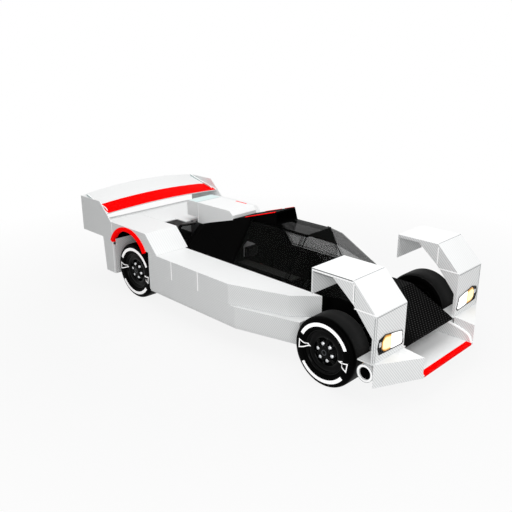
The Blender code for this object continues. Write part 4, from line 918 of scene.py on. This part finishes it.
def side_details(hand, side):
    """Side panels' joint and seams, red arch lip, wheel well's lining, wing fence and tail lamp."""
    face = side * SIDE_FACE
    joint = on_side(face, side, (-1.02, 0.4652, 0.398, 0.4652))
    strips(f"pod{hand}_filled_joint", joint, 0.012, 0.0006, WHITE)
    white = on_side(face, side, *((x, 0.47, x, 0.696) for x in (-0.579, -0.103)))
    strips(f"pod{hand}_white_seams", white, 0.012, 0.003, WHITE_SEAM_PAINTED_HIGHLIGHT)
    turn = np.radians(np.linspace(27.0, 154.0, 60))
    toward = np.clip(np.cos(turn), 0.0, 1.0)[:, None]
    outer = ARCH_OUTER + 0.01 * toward + (0.0, 0.0, -0.003)
    inner = ARCH_INNER - 0.018 * toward + (0.004, 0.0, 0.0, 0.0035, 0.004)
    depth = np.array([0.0, -0.0085, -0.0105, -0.0105, -0.007, 0.042, 0.042, 0.0])[None, :]
    radius = np.concatenate([outer, inner], axis=1)
    grid = swept(radius, depth, np.array(ARCH_CENTRE) * (1, side, 1), side, turn)
    piece(f"rear_arch{hand}_red_lip", [capped(grid)], RED_WITH_PAINTED_GLOW, 35)
    path = np.array([(-1.7555, 0.712), (-1.7555, 0.905), (-1.1, 0.905), (-0.9, 0.712)])
    both = np.stack([np.stack([path[:, 0], np.full(4, side * y), path[:, 1] + shift], axis=-1)
                     for y, shift in oblong(0.478, 0.0, 0.947, -0.003)], axis=1)
    piece(f"rear_well{hand}_black_lining", [capped(both)], HOLLOW, 20)
    low, high = sorted((side * 0.896, side * 0.903))
    # The fence plate's pale teal grey is painted shade on a white plate.
    piece("wing_fence" + hand, [slab(WING_FENCE, low, high, "y", 0.002)], PALE_TEAL_PAINTED_SHADE)
    edge = curve_through([(x, side * 0.8995, z) for x, z in WING_FENCE[:7]], 40)
    rod(f"wing_fence{hand}_edge", edge, 0.0055, 10, WHITE_SEAM_PAINTED_HIGHLIGHT, side)
    seam = on_side(side * 0.9618, side, (-1.7995, 0.24, -1.7995, 0.91))
    strips(f"endplate{hand}_seam", seam, 0.008, 0.002, WHITE_SEAM_PAINTED_HIGHLIGHT)
    lamp = [(-2.0025, side * 0.43, 0.6), (-2.0025, side * 0.43, 0.86)]
    piece("tail_lamp" + hand, [carried(half_round(0.03, 0.01, 9), lamp, (-1, 0, 0))], TAIL_LENS, 60)


PIPE_LINE = ((-1.275, 0.3, 0.745), (-1.245, 0.3, 0.822), (-1.19, 0.3, 0.876), (-1.11, 0.298, 0.903),
             (-1.0, 0.292, 0.938), (-0.9, 0.285, 0.972))


def upper_details():
    """Cover seam and marks, the intake's red edge lines and the black pipes beside the cover."""
    edge, top = 0.2004, 1.2004
    grey, white, lines = [], [], []
    for _, side in HANDS:
        grey += on_side(side * edge, side, (-0.985, 1.004, -0.985, 1.196))
        white += on_side(side * edge, side, (-0.977, 0.94, -0.977, 1.196))
    grey += [([(-0.985, -0.197, top), (-0.985, 0.197, top)], (0, 0, 1))]
    strips("engine_cover_grey_seam", grey, 0.006, 0.001, SEAM_GREY)
    strips("engine_cover_white_seam", white, 0.008, 0.0018, WHITE_SEAM_PAINTED_HIGHLIGHT)
    mark = [([(-0.68, 0.186, top), (-0.49, 0.186, top)], (0, 0, 1))]
    strips("engine_cover_red_mark", mark, 0.02, 0.002, RED_WITH_PAINTED_GLOW)
    for side, start, stop in ((-1, -0.125, -0.032), (-1, -0.028, 0.33), (1, -0.15, -0.032),
                              (1, -0.028, 0.13), (1, 0.185, 0.325)):
        line = []
        for x in (start, stop):
            wide = 0.186 + 0.0215 * max(-0.03 - x, 0.0) if x < -0.029 else 0.182 - 0.054 * (x + 0.03)
            line.append((x, side * (wide - 0.006), 1.319 - 0.31 * (0.339 - x) + 0.0004))
        lines.append((line, (0, side * 0.3, 1)))
    strips("intake_red_edge_lines", lines, 0.02, 0.004, RED_WITH_PAINTED_GLOW)
    for hand, side in HANDS:
        path = curve_through(np.array(PIPE_LINE) * (1.0, side, 1.0), 40)
        rod("side_pipe" + hand, path, 0.02, 20, PIPE, side)


# Cabin: seat, harness, wheel, dash and head surround.

def thick_sheet(grid, thick):
    """Points p and p - n t, with the upward normal n from cross products of the grid's slopes."""
    normal = unit(np.cross(np.gradient(grid, axis=0), np.gradient(grid, axis=1)))
    normal *= np.sign(normal[..., 2].mean())
    return closed_sheet(grid, grid - normal * thick)


SEAT_LINE = ((0.096, 0.622), (0.15, 0.56), (0.245, 0.45), (0.33, 0.362), (0.4, 0.322), (0.5, 0.312),
             (0.62, 0.318), (0.7, 0.352), (0.765, 0.392))


def seat_surface(start, stop, half, rows, columns, wing, lift):
    """Part of the seat's middle line, swept across and raised by lift + wing |v|^3.5 along its normal."""
    line = curve_through([(x, DRIVER_Y, z) for x, z in SEAT_LINE], 97)
    at = np.linspace(start * 96, stop * 96, rows)
    part = np.stack([np.interp(at, np.arange(97), line[:, k]) for k in range(3)], axis=1)
    slope = unit(np.gradient(part, axis=0))
    normal = np.stack([-slope[:, 2], 0 * slope[:, 0], slope[:, 0]], axis=1)
    v = np.linspace(-1.0, 1.0, columns)
    rise = lift + wing * np.abs(v) ** 3.5
    grid = part[:, None, :] + normal[:, None, :] * rise[None, :, None]
    grid[..., 1] += half * v[None, :]
    return grid


def cushion(name, start, stop, *channels):
    """A crowned pad on the seat: thickness t (1 - (2u - 1)^6)(1 - v^6), less a sewn dip at each channel."""
    rows, columns = 60, 40
    base, top = [seat_surface(start, stop, 0.15, rows, columns, 0.03, lift) for lift in (0.0, 1.0)]
    normal = top - base
    u = np.linspace(0.0, 1.0, rows)[:, None]
    v = np.linspace(-1.0, 1.0, columns)[None, :]
    crown = 0.004 + 0.022 * ((1 - np.abs(2 * u - 1) ** 6) * (1 - np.abs(v) ** 6)) ** 0.6
    for place in channels:
        crown = crown - 0.007 * np.exp(-((u - place) / 0.016) ** 2) * (1 - v ** 8)
    crown = crown - 0.006 * np.exp(-((np.abs(v) - 0.66) / 0.035) ** 2) * (1 - np.abs(2 * u - 1) ** 8)
    grids = closed_sheet(base + normal * np.maximum(crown, 0.002)[..., None], base + normal * 0.0006)
    piece(name, grids, SEAT_CLOTH, 60)


def webbing(name, points):
    """A harness strap 45 mm wide with rolled edges, laid along a smooth line."""
    turn = around(14)
    flat = np.stack([0.0225 * squared(np.cos(turn), 0.4), 0.0016 * np.sin(turn)], axis=1)
    piece(name, [carried(flat, curve_through(points, 40), (0.35, 0, 1))], WEBBING, 40)


def seat_and_harness():
    """Bucket shell with raised sides, three sewn pads, and the harness with its round buckle."""
    shell = thick_sheet(seat_surface(0.0, 1.0, 0.192, 64, 33, 0.06, 0.0), 0.007)
    piece("seat_bucket", shell, CABIN, 50, node="seat")
    rails = [slab(oblong(0.22, y, 0.62, y + 0.02), 0.2636, 0.306, "z", 0.003) for y in (-0.395, -0.065)]
    piece("seat_rails", rails, METAL)
    cushion("seat_back_pad", 0.06, 0.43, 0.25, 0.5, 0.75)
    cushion("seat_base_pad", 0.5, 0.8, 0.33, 0.67)
    cushion("seat_thigh_pad", 0.83, 0.97, 0.5)
    for number, (shoulder, hip) in enumerate(((-0.275, -0.24), (-0.165, -0.2))):
        webbing(f"shoulder_strap_{number}", [
            (0.085, shoulder, 0.642), (0.12, shoulder, 0.634), (0.23, (shoulder * 2 + hip) / 3, 0.512),
            (0.33, (shoulder + hip * 2) / 3, 0.406), (0.405, hip, 0.362)])
    for number, edge in enumerate((-0.385, -0.055)):
        webbing(f"lap_strap_{number}", [
            (0.36, edge, 0.405), (0.395, edge * 0.75 - 0.055, 0.392), (0.42, edge * 0.35 - 0.143, 0.364)])
    buckle = [(0.0, 0.356), (0.03, 0.356), (0.034, 0.36), (0.034, 0.368), (0.028, 0.373), (0.01, 0.373),
              (0.008, 0.376), (0.0, 0.376)]
    piece("harness_buckle", studs(buckle, [(0.425, DRIVER_Y, 0.0)], "z", 32), METAL, 40)


def steering_and_dash():
    """Wheel plate with two grips, its screen and knobs, the column, and the dash's screen and switches."""
    x, y, z = 0.96, DRIVER_Y, 0.64
    parts = []
    for side in (-1.0, 1.0):
        grip = [(x, y + side * a, z + b) for a, b in ((0.085, 0.058), (0.122, 0.052), (0.136, 0.0),
                                                      (0.12, -0.055), (0.08, -0.062))]
        parts.append(carried(round_bar(0.0135, 14), curve_through(grip, 28), (1, 0, 0)))
    piece("steering_wheel_grips", parts, SEAT_CLOTH, 60, node="steering_wheel")
    plate = np.array([(-0.105, -0.05), (0.105, -0.05), (0.118, 0.0), (0.1, 0.058), (-0.1, 0.058),
                      (-0.118, 0.0)]) + (y, z)
    plate = slab(plate, x - 0.011, x + 0.011, "x", 0.004)
    piece("steering_wheel_plate", [plate], BLACK, node="steering_wheel")
    screen = oblong(y - 0.045, z + 0.002, y + 0.045, z + 0.046)
    piece("steering_wheel_screen", [slab(screen, x - 0.0135, x - 0.0108, "x")], GLASS_BLACK)
    dome = np.array([(0.0085, -0.0105), (0.0085, -0.015), (0.006, -0.0175), (0.0, -0.018)])
    half = ((0.085, 0.03), (0.066, 0.042), (0.085, -0.018), (0.06, -0.034), (0.025, -0.03))
    places = [(x, y - a, z + b) for a, b in half] + [(x, y + a, z + b) for a, b in half[::-1]]
    piece("steering_wheel_knobs", studs(dome, places, "x", 10), RED_WITH_PAINTED_GLOW, 60)
    column = carried(round_bar(0.022, 20), [(x + 0.01, y, z - 0.01), (1.0595, y, z - 0.01)], (0, 0, 1))
    piece("steering_column", [column], METAL, 40)
    piece("dash_screen", [slab(oblong(-0.36, 0.588, -0.08, 0.655), 1.0565, 1.0598, "x")], GLASS_BLACK)
    dome[:, 1] = (dome[:, 1] + 0.0104) * 1.2
    places = [(1.06, y, z) for z in (0.6, 0.625, 0.65) for y in np.linspace(0.02, 0.34, 7)]
    piece("dash_switches", studs(dome, places, "x", 10), METAL, 60)


def head_surround():
    """Pale bracket beside the head, wall behind the seat, sill trims, driver's ledge and head pad."""
    wedge = [(0.03, 0.942), (0.165, 0.938), (0.02, 0.872), (-0.034, 0.842), (-0.034, 0.86)]
    post = slab(oblong(-0.025, 0.738, -0.018, 0.846), -0.316, -0.308, "y")
    piece("head_bracket", [slab(wedge, -0.318, -0.306, "y", 0.002), post], SURROUND)
    wall = [(-0.462, 0.706), (0.462, 0.706), (0.183, 1.128), (-0.183, 1.128)]
    piece("cabin_firewall", [slab(wall, -0.0294, -0.0264, "x", 0.0005)], CABIN, 20)
    trim = np.array([(-0.466, 0.676), (-0.412, 0.676), (-0.41, 0.69), (-0.416, 0.697), (-0.466, 0.697)])
    for hand, side in HANDS:
        bar = slab(trim * (-side, 1.0), 0.01, 0.8, "x", 0.003)
        piece("sill_trim" + hand, [bar], BLACK)
    ledge = [(-0.414, 0.68), (-0.262, 0.676), (-0.25, 0.684), (-0.262, 0.692), (-0.414, 0.696)]
    piece("driver_side_ledge", [slab(ledge, -0.02, 0.795, "x", 0.003)], GREY_TRIM)
    u = np.linspace(0, 1, 24)[:, None]
    v = around(28)[None, :]
    swell = np.sin(math.pi * u) ** 0.18
    block = np.stack([0.012 + 0.036 * squared(np.cos(v), 0.5) * swell, DRIVER_Y + 0.08 * (2 * u - 1) + 0 * v,
                      0.8 + 0.062 * squared(np.sin(v), 0.5) * swell], axis=-1)
    piece("head_pad", [(block, False, True)], SEAT_CLOTH, 60)


def underside():
    """Worn skid plank along the floor with its countersunk fixings."""
    outline = [(1.4, -0.1), (1.47, -0.06), (1.47, 0.06), (1.4, 0.1), (-1.62, 0.1), (-1.66, 0.07),
               (-1.66, -0.07), (-1.62, -0.1)]
    piece("skid_plank", [slab(outline, 0.199, 0.2049, "z")], PLANK)
    screw = [(0.0, 0.1982), (0.009, 0.1982), (0.011, 0.1991), (0.011, 0.2)]
    places = [(x, y, 0.0) for x in np.linspace(-1.55, 1.35, 9) for y in (-0.065, 0.065)]
    piece("skid_plank_bolts", studs(screw, places, "z", 12), METAL, 40)


hoops_and_rails()
seat_and_harness()
steering_and_dash()
head_surround()
underside()
for hand, side in HANDS:
    head_lamp(hand, side)
    front_details(hand, side)
    side_details(hand, side)
upper_details()


# Floor, backdrop, lights and camera.

WORLD_LIGHT = 0.36


def seen_ray(tree):
    """1 for rays from the camera, off gloss and through glass, else 0."""
    path = add(tree, "ShaderNodeLightPath").outputs
    seen = maths(tree, "MAXIMUM", path["Is Camera Ray"], path["Is Glossy Ray"])
    return maths(tree, "MAXIMUM", seen, path["Is Transmission Ray"])


def studio():
    """A pale floor that keeps the shadow, a white world, and soft lamps above, ahead and to the right."""
    far = 60.0
    corners = [(-far, -far, 0.0), (-far, far, 0.0), (far, far, 0.0), (far, -far, 0.0)]
    mesh = bpy.data.meshes.new("studio_floor")
    mesh.from_pydata(corners, [], [(0, 1, 2, 3)])
    ground = placed("studio_floor", mesh)
    made, tree, shader = coat("pale_floor_paint", "#C4C4C4", 0.9)
    away = add(tree, "ShaderNodeVectorMath", {0: spot(tree)}, operation="LENGTH").outputs["Value"]
    part = maths(tree, "MULTIPLY", seen_ray(tree), ranged(tree, away, 0.88, 1.0, 2.5, 6.0))
    glow = add(tree, "ShaderNodeEmission", {"Color": (1, 1, 1, 1), "Strength": 1.0}).outputs[0]
    mixed = add(tree, "ShaderNodeMixShader", {0: part, 1: shader.outputs[0], 2: glow}).outputs[0]
    fill(tree.nodes["Material Output"], {"Surface": mixed})
    mesh.materials.append(made)
    world = bpy.data.worlds.new("studio_world")
    bpy.context.scene.world = world
    world.use_nodes = True
    tree = world.node_tree
    power = ranged(tree, seen_ray(tree), WORLD_LIGHT, 1.0)
    fill(tree.nodes["Background"], {"Color": (1, 1, 1, 1), "Strength": power})
    for name, place, size, power in (("top_softbox", (0.0, 0.3, 6.4), 6.0, 215.0),
                                     ("front_softbox", (6.0, 0.2, 4.9), 3.0, 110.0),
                                     ("side_softbox", (1.6, -6.8, 3.0), 2.4, 32.0),
                                     ("key_softbox", (5.8, -5.4, 3.2), 3.2, 160.0)):
        lamp = bpy.data.lights.new(name, "AREA")
        lamp.size = size
        lamp.energy = power
        thing = placed(name, lamp)
        thing.location = place
        thing.rotation_euler = (Vector((0, 0, 0.5)) - Vector(place)).to_track_quat("-Z", "Y").to_euler()
        thing.visible_camera = False


def camera():
    """The photograph's viewpoint, solved from the wheels' ellipses and mirrored corner pairs."""
    lens = bpy.data.cameras.new("camera")
    lens.lens = 44.42
    lens.sensor_width = 36.0
    thing = placed("camera", lens)
    thing.location = (5.01206, -5.17182, 3.20278)
    yaw, pitch = math.radians(134.8714), math.radians(19.3502)
    ahead = Vector((math.cos(yaw) * math.cos(pitch), math.sin(yaw) * math.cos(pitch), -math.sin(pitch)))
    thing.rotation_euler = ahead.to_track_quat("-Z", "Y").to_euler()
    bpy.context.scene.camera = thing


studio()
camera()
bpy.context.scene.view_settings.view_transform = "Standard"
